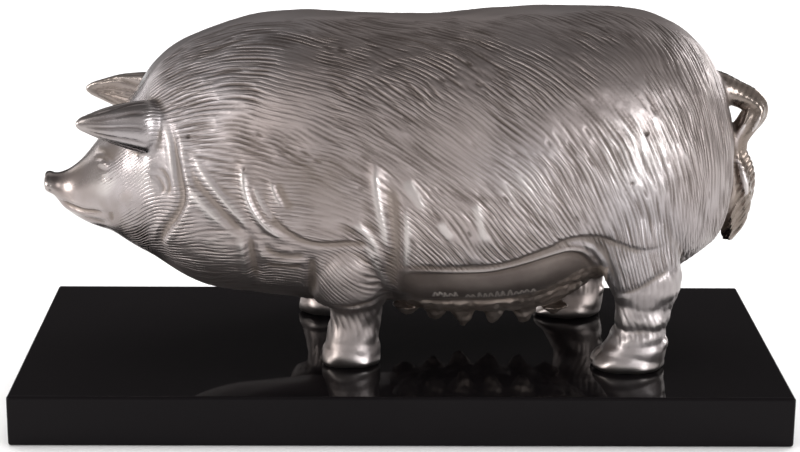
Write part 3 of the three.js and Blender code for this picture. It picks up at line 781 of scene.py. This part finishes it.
def chased(flank, strokes, half_width, seed):
    """A map of how deep the graver went: 1 at the bottom of a full stroke."""
    chart = Chart((0, 0), (flank.run[-1], flank.girth.max()), CHART_STEP)
    rng = np.random.default_rng(seed)
    across = np.arange(-half_width * 1.5, half_width * 1.5 + 0.01, CHART_STEP * 0.7)
    for stroke in strokes:
        length = np.concatenate([[0], np.cumsum(np.hypot(*np.diff(stroke, axis=0).T))])
        at = np.arange(0, length[-1], CHART_STEP * 0.8)
        if len(at) < 4:
            continue
        u, v = np.interp(at, length, stroke[:, 0]), np.interp(at, length, stroke[:, 1])
        du, dv = np.gradient(u), np.gradient(v)
        size = np.hypot(du, dv)
        share = at / length[-1]
        depth = rng.uniform(0.6, 1.0) * np.sin(math.pi * np.clip(share * 0.94 + 0.03, 0, 1)) ** 0.55
        i = (u[:, None] - across * (dv / size)[:, None]) / CHART_STEP
        j = (v[:, None] + across * (du / size)[:, None]) / CHART_STEP
        profile = depth[:, None] * bell(across, half_width)
        i = np.clip(np.round(i).astype(int), 0, chart.shape[0] - 1)
        j = np.clip(np.round(j).astype(int), 0, chart.shape[1] - 1)
        np.maximum.at(chart.values, (i, j), profile)
    chart.soften()
    return chart


# Where the coat ends on each leg: place along from the leg's middle, and height of the hem
FRONT_HEM = [(-14, 27.4), (-8, 25.6), (0, 26), (8, 28.2), (14, 31)]
HIND_HEM = [(-13, 30.6), (-9, 31.4), (-4, 33.8), (3, 38), (9, 41.4), (16, 43.4)]


def leg_share(points):
    """1 on the lower legs, which have their own finish, and 0 on the body."""
    share = np.zeros(len(points))
    for leg in LEGS:
        hem = np.array(FRONT_HEM if leg["stations"] is FRONT_LEG else HIND_HEM).T
        _, front, back, inner, outer = rows_at(leg["stations"], 16.0)
        off_x = points[:, 0] - (front + back) / 2 - leg["forward"]
        off_y = points[:, 1] - leg["side"] * ((inner + outer) / 2 + leg["outward"])
        near = smooth_step(25, 19, np.hypot(off_x, off_y))
        edge = np.interp(off_x, *hem)
        share = np.maximum(share, near * smooth_step(edge + 1.2, edge - 1.2, points[:, 2]))
    return share


def ear_share(points):
    """How far a point is on an ear, its place from tip to root and its angle round the ear."""
    share = np.zeros(len(points))
    along = np.zeros(len(points))
    angle = np.zeros(len(points))
    for side in (-1, 1):
        forward = FAR_EAR_FORWARD if side > 0 else 0
        rows = np.array(EAR)
        x = rows[:, 0] + forward * np.linspace(1, 0, len(EAR))
        height, half_height, out, half_thick = (np.interp(points[:, 0], x, rows[:, k]) for k in (1, 2, 3, 4))
        off_y = (points[:, 1] * side - out) / (half_thick + 0.5)
        off_z = (points[:, 2] - height) / (half_height + 0.5)
        on = (np.hypot(off_y, off_z) < 1.12) & (points[:, 0] < -93.5) & (points[:, 1] * side > 15)
        root = smooth_step(-96, -101, points[:, 0])
        share = np.where(on, root, share)
        along = np.where(on, points[:, 0] - x[0], along)
        angle = np.where(on, np.arctan2(off_z, off_y), angle)
    return share, along, angle


def tail_share(points):
    """1 on the tail and 0 on the body, which ends at the outline of the rump."""
    rows = np.array(BODY[18:])
    height = np.concatenate([rows[:, 2], rows[::-1, 1]])
    along = np.concatenate([rows[:, 0], rows[::-1, 0]])
    behind = points[:, 0] - np.interp(points[:, 2], height, along)
    share = smooth_step(0.6, 1.6, behind) * (points[:, 0] > 124.5) * (np.abs(points[:, 1]) < 7)
    return share * smooth_step(40, 42, points[:, 2])


def udder_share(points, legs):
    """1 on the udder and its teats, and 0 elsewhere."""
    share = smooth_step(0.6, -0.6, points[:, 2] - np.interp(points[:, 0], *np.array(UDDER_EDGE).T))
    in_belly = (points[:, 0] > -4) & (points[:, 0] < 80) & (points[:, 2] < 50)
    return share * in_belly * (1 - legs)


EAR_ROOT = {"along": -92, "height": 93}


def seams_eased(points, edges):
    """The skin with the joints of the legs and ears to the body evened out."""
    seam = np.zeros(len(points))
    for leg in LEGS:
        high = leg["stations"][-1][0]
        middle = leg["stations"][-3]
        x = (middle[1] + middle[2]) / 2 + leg["forward"]
        off = np.hypot(points[:, 0] - x, (points[:, 2] - high + 10) * 1.2)
        seam = np.maximum(seam, smooth_step(34, 22, off) * (points[:, 1] * leg["side"] > 20))
    off = np.hypot(points[:, 0] - EAR_ROOT["along"], points[:, 2] - EAR_ROOT["height"])
    seam = np.maximum(seam, smooth_step(13, 8, off) * (np.abs(points[:, 1]) > 12))
    return relaxed(points, edges, 30, 0.5 * seam * smooth_step(27, 31, points[:, 2]))


def panel_hang(points, body):
    """How far the belly panel hangs out over the udder on the near side."""
    apron = smooth_step(0, 14, panel_edge(points[:, 0]) - points[:, 2])
    apron *= smooth_step(-2, 8, points[:, 0]) * smooth_step(76, 64, points[:, 0]) * body
    return 3.0 * apron * smooth_step(-20, -34, points[:, 1]) * smooth_step(20, 25, points[:, 2])


def coat_of_hair(points):
    """At each point, how deep a stroke of the graver goes, and the count and room of the fine lines."""
    flank = FlankMap()
    run, girth = flank.unroll(points)
    hair, lines, combed = np.zeros((3, len(points)))
    for coat in HAIR:
        strokes = comb(flank, coat["pitch"], coat["seed"])
        chart = chased(flank, strokes, coat["half_width"], coat["seed"])
        count, room = fine_lines(flank, coat["seed"])
        here = points[:, 1] * coat["side"] > 0
        for values, source in ((hair, chart), (lines, count), (combed, room)):
            values[here] = source.read(run[here], girth[here])
    wear = smooth_step(0.5, 1.5, ripple(np.stack([run, girth], -1), 55, 31))
    return hair * (1 - 0.45 * wear), lines, combed * (1 - 0.45 * wear)


TAIL_LINE_PITCH = 2.3


def graver_lines(points, legs, ears, ear_along, ear_angle, tail):
    """How deep the lines on the ears, the legs and the tail are cut."""
    x, _, height = points.T
    ear_lines = np.cos(ear_angle * 11 + 1.2 * np.sin(ear_along * 0.21) + ear_angle * np.sin(ear_along * 0.13))
    ear_lines = np.clip(ear_lines, 0, 1) ** 1.5 * ears * smooth_step(2, 9, ear_along)
    leg_lines = np.clip(np.sin(x * 2.4 + height * 0.5 + 2 * np.sin(height * 0.3)), 0, 1)
    leg_lines *= legs * smooth_step(9, 14, height) * 0.6
    bristle = x * 0.8 - height * 0.6 + 1.5 * np.sin(height * 0.11)
    tail_lines = np.clip(np.sin(bristle * 2 * math.pi / TAIL_LINE_PITCH), 0, 1) * tail
    tail_lines *= 0.3 + 0.7 * smooth_step(86, 76, height)
    return 0.28 * ear_lines + 0.25 * leg_lines + 0.3 * tail_lines


def painted_light_and_stains(x, height):
    """Painted highlights on the near side (below zero), and where it is darker (above zero): brown stains on
    the face, painted shade on the flank and back.
    """
    light_and_stain = np.zeros(x.shape)
    for place, level, radius, strength in HIGHLIGHTS_SHADE_AND_STAINS:
        light_and_stain += strength * bell(np.hypot(x - place, height - level), radius)
    return light_and_stain


def hollows(points, normals, edges):
    """How hollow the skin is around each point, over a few millimetres; negative on swellings."""
    a, b = edges.T
    apart = points[b] - points[a]
    bend = np.einsum("ij,ij->i", normals[b] - normals[a], apart) / np.maximum((apart ** 2).sum(1), 0.01)
    count = len(points)
    links = np.bincount(a, minlength=count) + np.bincount(b, minlength=count)
    bend = -(np.bincount(a, bend, count) + np.bincount(b, bend, count)) / np.maximum(links, 1)
    return relaxed(np.clip(bend, -1, 1)[:, None], edges, 24, 0.7)[:, 0]


SCRATCH_WIDTH = 0.42


def idle_strokes(points):
    """One row of small idle strokes on the belly panel."""
    rng = random.Random(7)
    depth = np.zeros(len(points))
    near = (points[:, 1] < 0) & (points[:, 0] > 8) & (points[:, 0] < 56)
    near &= (points[:, 2] < 38) & (points[:, 2] > 24)
    x, height = points[near, 0], points[near, 2]
    total = np.zeros(len(x))
    along = 12.5
    while along < 51:
        base = 29.2 + 2.2 * ((along - 28) / 24) ** 2 + rng.uniform(-0.5, 0.5)
        tall = rng.uniform(1.6, 3.4)
        lean = rng.uniform(0.2, 1.2)
        line = [(along, base), (along + lean * 0.6, base + tall), (along + lean + 0.8, base + 0.3)]
        distance, _, _ = line_distance(x, height, smooth_line(line, 3))
        total = np.maximum(total, bell(distance, SCRATCH_WIDTH))
        along += rng.choice([1.9, 2.2, 2.6, 4.6])
    depth[near] = total
    return depth


def pitted(points):
    """Small casting flaws on the near flank."""
    hole = np.zeros(len(points))
    for x, height in PITS:
        off = np.hypot(points[:, 0] - x, points[:, 2] - height)
        hole = np.maximum(hole, bell(off, PIT_RADIUS) * (points[:, 1] < 0))
    return hole


def panel_tones(points, body, near):
    """How bare the belly panel is, and a painted shadow in the groove along its upper edge, under the
    overhang of the flank.
    """
    x = points[:, 0]
    below = panel_edge(x) - points[:, 2]
    panel = 0.5 * smooth_step(-3.4, -1.6, below) + 0.5 * smooth_step(0.2, 1.0, below)
    panel *= smooth_step(-4, 1, x) * (x < SMOOTH_PANEL[-1][0]) * body
    # The second value is painted shadow: a dark band just above the panel's edge.
    return panel, 0.2 * bell(below + 1.7, 0.9) * smooth_step(-3, 0, x) * smooth_step(76, 70, x) * near


# The way from the pig to the viewer
TO_VIEWER = (-0.01, -0.96, 0.27)


def carve(mesh):
    """Cuts folds, hair and lines into the fused skin, and marks on it what its finish needs."""
    edges = edges_of(mesh)
    points = seams_eased(relaxed(points_of(mesh), edges, 3, 0.5), edges)
    normals = normals_of(mesh, points)
    legs = leg_share(points)
    ears, ear_along, ear_angle = ear_share(points)
    tail = tail_share(points)
    body = (1 - legs) * (1 - ears) * (1 - tail)
    facing = smooth_step(0.12, 0.45, np.abs(normals[:, 1]))
    spare = smooth_step(0.05, -0.15, normals @ np.array(TO_VIEWER))
    folds, on_fold, fold_shade_and_sheen = fold_relief(points[:, 0], points[:, 2])
    points = points + normals * (folds * facing * body)[:, None]
    points[:, 1] -= panel_hang(points, body)
    normals = normals_of(mesh, points)

    hair, lines, combed = coat_of_hair(points)
    room = body * (0.45 + 0.55 * smooth_step(-104, -88, points[:, 0])) * (1 - 0.8 * on_fold * facing)
    shallow = smooth_step(-10, -30, points[:, 0]) * smooth_step(88, 74, points[:, 2])
    hair *= room * (1 - 0.35 * shallow)
    combed *= room * np.where(normals[:, 2] < 0, facing, 1)
    cut = HAIR_DEPTH * hair + graver_lines(points, legs, ears, ear_along, ear_angle, tail)
    udder = udder_share(points, legs)
    hammer = 0.12 * ripple(points, 16, 5) + 0.15 * ripple(points, 6.5, 6) * legs
    hammer += udder * (0.2 * ripple(points, 3.4, 8) + 0.2 * ripple(points, 7, 9))
    scratch = idle_strokes(points)
    pits = pitted(points)
    points = points + normals * (hammer - cut - 0.35 * scratch - 0.8 * pits)[:, None]
    points[:, 2] = np.maximum(points[:, 2], 0.0)
    normals = normals_of(mesh, points)

    near = facing * (points[:, 1] < 0)
    panel, stain_and_shadow = panel_tones(points, body, near)
    # Painted light and stains for the skin's tone: painted shade and highlight along the folds, painted
    # highlights, painted shade and brown stains at the listed places, and painted shadow over the panel.
    # Hollows add brown patina and swellings are rubbed bright.
    light_and_stain = 0.13 * fold_shade_and_sheen * facing * body + painted_light_and_stains(points[:, 0], points[:, 2]) * near + stain_and_shadow
    marks = {
        "groove": np.clip(cut / HAIR_DEPTH + pits, 0, 1), "lines": lines, "combed": combed,
        "scratch": scratch, "keep": np.maximum(scratch, pits), "leg": legs, "udder": udder, "spare": spare,
        "hollow_and_painted_light": hollows(points, normals, edges) + light_and_stain, "bare": panel * (1 - udder),
        # Brown on the tail, and at seven tenths on the far ear.
        "browned": tail + 0.7 * ears * (points[:, 1] > 0),
        "coat": body * (1 - panel) * smooth_step(-102, -90, points[:, 0]),
    }
    for name, values in marks.items():
        add_surface(mesh, name, values)
    return mesh


def thinned(mesh):
    """The same skin with fewer faces: first on the hidden side, then on the side that is shown."""
    for hidden in (True, False):
        spare = surface_of(mesh, "spare")
        free = spare > 0.5 if hidden else (spare <= 0.5) & (surface_of(mesh, "keep") < 0.1)
        corners = triangle_corners(mesh)
        loose = free[corners].all(axis=1).sum()
        thing = new_object("skin", mesh)
        ease = thing.vertex_groups.new(name="ease off")
        ease.add(np.nonzero(free)[0].tolist(), 1.0, "REPLACE")
        thin = thing.modifiers.new("thin", "DECIMATE")
        target = len(corners) - loose + HIDDEN_TRIANGLES if hidden else ALL_TRIANGLES
        thin.ratio = min(1.0, target / len(corners))
        thin.use_collapse_triangulate = True
        thin.vertex_group = ease.name
        thin.vertex_group_factor = 0.001
        mesh = with_modifiers(thing)
    return mesh


def make_pig():
    """The casting, at real size and standing on the slab."""
    mesh = thinned(carve(fused(pig_shells())))
    mesh.name = "pig_cast"
    points = points_of(mesh)
    mesh.vertices.foreach_set("co", (points * SQUARE + [0, 0, SLAB_TOP]).ravel())
    mesh.shade_smooth()
    mesh.update()
    return new_object("pig_casting", mesh)


class Maths:
    """A node socket that can be added, multiplied and so on, and makes the Math nodes that it needs."""

    def __init__(self, kit, socket):
        self.kit = kit
        self.socket = socket

    def _with(self, operation, other, swapped=False):
        ends = [other, self] if swapped else [self, other]
        inputs = {i: end for i, end in enumerate(ends) if end is not None}
        return self.kit.number("ShaderNodeMath", {"operation": operation}, inputs)

    def __add__(self, other):
        return self._with("ADD", other)

    __radd__ = __add__

    def __mul__(self, other):
        return self._with("MULTIPLY", other)

    __rmul__ = __mul__

    def __sub__(self, other):
        return self._with("SUBTRACT", other)

    def __rsub__(self, other):
        return self._with("SUBTRACT", other, swapped=True)

    def wave(self):
        return self._with("SINE", None)

    def between(self, low, high):
        inputs = {"Value": self, "From Min": low, "From Max": high}
        return self.kit.number("ShaderNodeMapRange", {"interpolation_type": "SMOOTHSTEP"}, inputs)


class Nodes:
    """Makes and links the nodes of one tree."""

    def __init__(self, tree):
        self.tree = tree

    def node(self, kind, settings=None, inputs=None):
        node = self.tree.nodes.new(kind)
        for name, value in (settings or {}).items():
            setattr(node, name, value)
        for key, value in (inputs or {}).items():
            self.feed(node.inputs[key], value)
        return node

    def feed(self, socket, value):
        if isinstance(value, Maths):
            value = value.socket
        if isinstance(value, bpy.types.NodeSocket):
            self.tree.links.new(value, socket)
        else:
            socket.default_value = value

    def number(self, kind, settings=None, inputs=None, output=0):
        return Maths(self, self.node(kind, settings, inputs).outputs[output])


class Finish(Nodes):
    """One material and its nodes."""

    def __init__(self, name):
        self.material = bpy.data.materials.new(name)
        self.material.use_nodes = True
        super().__init__(self.material.node_tree)
        self.shader = self.tree.nodes["Principled BSDF"]

    def surface(self, name):
        return self.number("ShaderNodeAttribute", {"attribute_name": name}, output="Fac")

    def noise(self, scale, detail, roughness):
        place = self.node("ShaderNodeTexCoord").outputs["Object"]
        inputs = {"Vector": place, "Scale": scale, "Detail": detail, "Roughness": roughness}
        return self.number("ShaderNodeTexNoise", {}, inputs)

    def blend(self, share, first, second):
        first, second = (end if not isinstance(end, tuple) else (*end, 1) for end in (first, second))
        return self.node("ShaderNodeMix", {"data_type": "RGBA"}, {0: share, 6: first, 7: second}).outputs[2]

    def bump(self, height, strength, distance, normal=None):
        inputs = {"Height": height, "Strength": strength, "Distance": distance}
        if normal is not None:
            inputs["Normal"] = normal
        return self.node("ShaderNodeBump", {}, inputs).outputs[0]

    def set(self, **inputs):
        for name, value in inputs.items():
            self.feed(self.shader.inputs[name.replace("_", " ")], value)


# Colours of the silver: the plate's two tones, where it is rubbed bright and where highlights are painted,
# the browns that age leaves on it, a fold brown that also paints shade, and the brown of the tail and far ear
PLATE = ((0.368, 0.321, 0.309), (0.370, 0.342, 0.346))
RUBBED_AND_HIGHLIGHT = (0.58, 0.545, 0.53)
SMOKED = (0.17, 0.136, 0.116)
GROOVE_BROWN = (0.110, 0.089, 0.079)
LINE_BROWN = (0.150, 0.122, 0.108)
FOLD_BROWN_AND_SHADE = (0.16, 0.126, 0.098)
TAIL_AND_FAR_EAR_BROWN = (0.175, 0.140, 0.112)
LEG_BROWN = (0.24, 0.200, 0.172)
BARE_PANEL = ((0.130, 0.104, 0.092), (0.190, 0.158, 0.140))
UDDER_SKIN = ((0.20, 0.155, 0.125), (0.30, 0.25, 0.215))
SCRATCHED = (0.80, 0.73, 0.68)


def silver_finish():
    """Chased silver: rubbed bright on the high spots, with painted highlights, warm grey between, brown
    patina in the grooves and folds, with painted shade along the folds and over the belly panel.
    """
    finish = Finish("silvered_casting")
    groove, hollow_and_painted_light, scratch = (finish.surface(name) for name in ("groove", "hollow_and_painted_light", "scratch"))
    bare, udder, coat, browned, leg = (finish.surface(name) for name in ("bare", "udder", "coat", "browned", "leg"))
    lines, combed = (finish.surface(name) for name in ("lines", "combed"))
    cloud = finish.noise(26.0, 4.0, 0.55)
    grain = finish.noise(600.0, 3.0, 0.6)
    patch = finish.noise(10.0, 2.0, 0.5)
    stain_and_shadow = finish.noise(45.0, 4.0, 0.6).between(0.35, 0.65)
    faint = finish.noise(55.0, 3.0, 0.5).between(0.36, 0.56)
    sway = (finish.noise(70.0, 2.0, 0.5) - 0.5) * 0.9
    dark = (groove + (cloud - 0.5) * 0.4).between(0.12, 0.80)
    # Brown where the skin is hollow, as patina, and where shade is painted along the folds and over the belly
    # panel; bright where it swells and is rubbed, and where highlights are painted.
    patina_and_shade = (hollow_and_painted_light * 4.0 + (cloud - 0.5) * 0.4).between(0.05, 0.7)
    rub_and_highlight = (hollow_and_painted_light * -4.0 + (cloud - 0.5) * 0.3).between(0.12, 0.8)
    fine = ((lines + sway) * (2 * math.pi)).wave().between(-0.3, 0.95) * combed * faint
    metal = finish.blend(patch.between(0.38, 0.62), *PLATE)
    layers = [
        (rub_and_highlight * 0.6, RUBBED_AND_HIGHLIGHT), ((1 - coat) * cloud.between(0.45, 0.60) * 0.42, SMOKED),
        (dark * 0.82, GROOVE_BROWN), (fine * 0.4, LINE_BROWN), (patina_and_shade * 0.6, FOLD_BROWN_AND_SHADE),
        (browned * 0.7, TAIL_AND_FAR_EAR_BROWN), (leg * 0.2, LEG_BROWN), (bare * 0.88, finish.blend(stain_and_shadow, *BARE_PANEL)),
        (udder * 0.8, finish.blend(stain_and_shadow, *UDDER_SKIN)), (scratch, SCRATCHED),
    ]
    for share, colour in layers:
        metal = finish.blend(share, metal, colour)
    roughness = 0.33 + 0.10 * coat + 0.08 * dark + 0.12 * patina_and_shade + (cloud - 0.5) * 0.16 - 0.05 * rub_and_highlight
    roughness = roughness - 0.08 * (1 - coat) * (1 - leg) + 0.30 * bare + 0.32 * udder + 0.08 * leg
    finish.set(Base_Color=metal, Metallic=1.0, Roughness=roughness)
    cast = finish.bump(grain * 0.5 + cloud * 0.6, 0.14, 0.0005)
    finish.set(Normal=finish.bump(fine * -1.0, 1.0, 0.00016, cast))
    return finish.material


def slab_finish():
    """Black stone, polished like a mirror, with a little dust and faint rubbing marks."""
    finish = Finish("black_slab")
    dust = finish.noise(900.0, 2.0, 0.7).between(0.62, 0.80)
    smear = finish.noise(14.0, 3.0, 0.5).between(0.35, 0.75)
    colour = finish.blend(smear * 0.4, (0.0050, 0.0042, 0.0047), (0.0066, 0.0056, 0.0061))
    finish.set(Base_Color=finish.blend(dust * 0.10, colour, (0.05, 0.05, 0.05)))
    finish.set(Roughness=0.035 + smear * 0.03 + dust * 0.05)
    finish.shader.inputs["Specular IOR Level"].default_value = 0.07
    finish.set(Normal=finish.bump(finish.noise(60.0, 2.0, 0.4), 0.02, 0.0004))
    return finish.material


def floor_finish():
    """White paper, with painted shade that greys it towards the viewer, where it leaves the light."""
    finish = Finish("pale_floor")
    shade = finish.noise(3.0, 2.0, 0.5)
    place = finish.node("ShaderNodeTexCoord").outputs["Object"]
    ahead = Maths(finish, finish.node("ShaderNodeSeparateXYZ", {}, {"Vector": place}).outputs["Y"]) * -1.0
    white = finish.blend(shade, (0.90, 0.90, 0.90), (0.92, 0.92, 0.92))
    # Painted shade: the colour turns grey towards the viewer.
    finish.set(Base_Color=finish.blend(ahead.between(0.15, 0.50), white, (0.48, 0.475, 0.47)), Roughness=0.85)
    finish.shader.inputs["Specular IOR Level"].default_value = 0.1
    return finish.material


def make_slab():
    """The slab, with its edges and corners eased as a polisher leaves them."""
    low, high = (np.array(corner) for corner in (SLAB_LOW, SLAB_HIGH))
    corners = [[(low, high)[(k >> axis) & 1][axis] for axis in range(3)] for k in range(8)]
    faces = [(0, 2, 3, 1), (4, 5, 7, 6), (0, 1, 5, 4), (2, 6, 7, 3), (0, 4, 6, 2), (1, 3, 7, 5)]
    mesh = bpy.data.meshes.new("slab")
    mesh.from_pydata(corners, [], faces)
    thing = new_object("slab_raw", mesh)
    ease = thing.modifiers.new("ease", "BEVEL")
    ease.width = SLAB_EDGE * SQUARE
    ease.segments = 5
    ease.use_clamp_overlap = False
    mesh = with_modifiers(thing)
    mesh.name = "slab_polished"
    mesh.shade_smooth()
    slab = new_object("plinth_slab", mesh)
    flat = slab.modifiers.new("flat faces", "WEIGHTED_NORMAL")
    flat.keep_sharp = False
    return slab


# The camera stands where the photograph was taken from
CAMERA_PLACE = (-0.0109, -0.8206, 0.3015)
CAMERA_PITCH = 15.9
CAMERA_YAW = 0.74
CAMERA_ROLL = 0.40
FOCAL_SHARE = 2109 / 800
SENSOR_WIDTH = 36.0


def place_camera():
    camera = bpy.data.cameras.new("portrait")
    camera.sensor_width = SENSOR_WIDTH
    camera.lens = FOCAL_SHARE * SENSOR_WIDTH
    thing = new_object("portrait", camera)
    turn_away = Matrix.Rotation(-math.radians(CAMERA_YAW), 4, "Z")
    tilt = Matrix.Rotation(math.radians(90 - CAMERA_PITCH), 4, "X")
    roll = Matrix.Rotation(math.radians(CAMERA_ROLL), 4, "Z")
    thing.matrix_world = Matrix.Translation(CAMERA_PLACE) @ turn_away @ tilt @ roll
    bpy.context.scene.camera = thing


# Soft boxes: name, place, where it faces, width and height, power and colour
SOFT_BOXES = [
    ("left box", (-1.25, -0.60, 0.30), (-0.06, 0, 0.08), (0.45, 0.45), 7.5, (1.0, 0.975, 0.955)),
    ("front left box", (-0.85, -1.25, 0.75), (-0.05, 0, 0.09), (0.5, 0.6), 2.6, (1.0, 0.98, 0.965)),
    ("right rim box", (1.35, 1.15, 0.62), (0.08, 0, 0.10), (0.6, 0.6), 9.0, (1.0, 1.0, 1.0)),
    ("left rim box", (-1.35, 1.05, 0.70), (-0.08, 0, 0.10), (0.5, 0.5), 2.0, (1.0, 1.0, 1.0)),
    ("right box", (1.05, -1.20, 0.20), (0.08, 0, 0.10), (0.8, 0.9), 18.0, (0.97, 0.98, 1.0)),
]
# A wide light over the floor, which is hidden from the mirror of the metal
FLOOR_LIGHT = ("floor light", (0.0, 0.6, 1.7), (0, 0.5, 0), (2.6, 1.7), 42.0, (1.0, 1.0, 1.0))


def place_light(name, place, target, extent, power, colour):
    light = bpy.data.lights.new(name, "AREA")
    light.shape = "RECTANGLE"
    light.size, light.size_y = extent
    light.energy = power
    light.color = colour
    thing = new_object(name, light)
    way = Vector(place) - Vector(target)
    thing.matrix_world = Matrix.Translation(place) @ way.to_track_quat("Z", "Y").to_matrix().to_4x4()
    return thing


def place_lights():
    for box in SOFT_BOXES:
        place_light(*box)
    place_light(*FLOOR_LIGHT).visible_glossy = False


def light_room():
    """A room that is pale in front of the pig, dim overhead and dark low down behind it."""
    world = bpy.data.worlds.new("studio")
    world.use_nodes = True
    kit = Nodes(world.node_tree)
    way = kit.node("ShaderNodeTexCoord").outputs["Generated"]
    split = kit.node("ShaderNodeSeparateXYZ", {}, {"Vector": way})
    across, back, up = (Maths(kit, split.outputs[axis]) for axis in "XYZ")
    front_wall = 0.58 - 0.38 * up.between(0.52, 0.98)
    low = 0.06 + 0.52 * (across * across).between(0.12, 0.45)
    high = up.between(0.36, 0.60)
    back_wall = low * (1 - high) + 0.52 * high - 0.36 * up.between(0.66, 0.95)
    share = back.between(-0.25, 0.35)
    level = front_wall * (1 - share) + back_wall * share
    warm = {"Red": level, "Green": level * 0.965, "Blue": level * 0.955}
    colour = kit.node("ShaderNodeCombineColor", {}, warm)
    background = world.node_tree.nodes["Background"]
    kit.feed(background.inputs["Color"], colour.outputs[0])
    background.inputs["Strength"].default_value = 1.0
    bpy.context.scene.world = world


def lay_floor():
    mesh = bpy.data.meshes.new("floor")
    reach = 6.0
    ways = ((-1, -1), (1, -1), (1, 1), (-1, 1))
    mesh.from_pydata([(a * reach, b * reach, CAD_BOX[0][2]) for a, b in ways], [], [(0, 1, 2, 3)])
    floor = new_object("floor", mesh)
    mesh.materials.append(floor_finish())


pig = make_pig()
pig.data.materials.append(silver_finish())
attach(pig, "root")
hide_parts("pig")

slab = make_slab()
slab.data.materials.append(slab_finish())
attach(slab, "root")
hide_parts("plinth")

place_camera()
place_lights()
light_room()
lay_floor()
bpy.context.scene.view_settings.view_transform = "Standard"
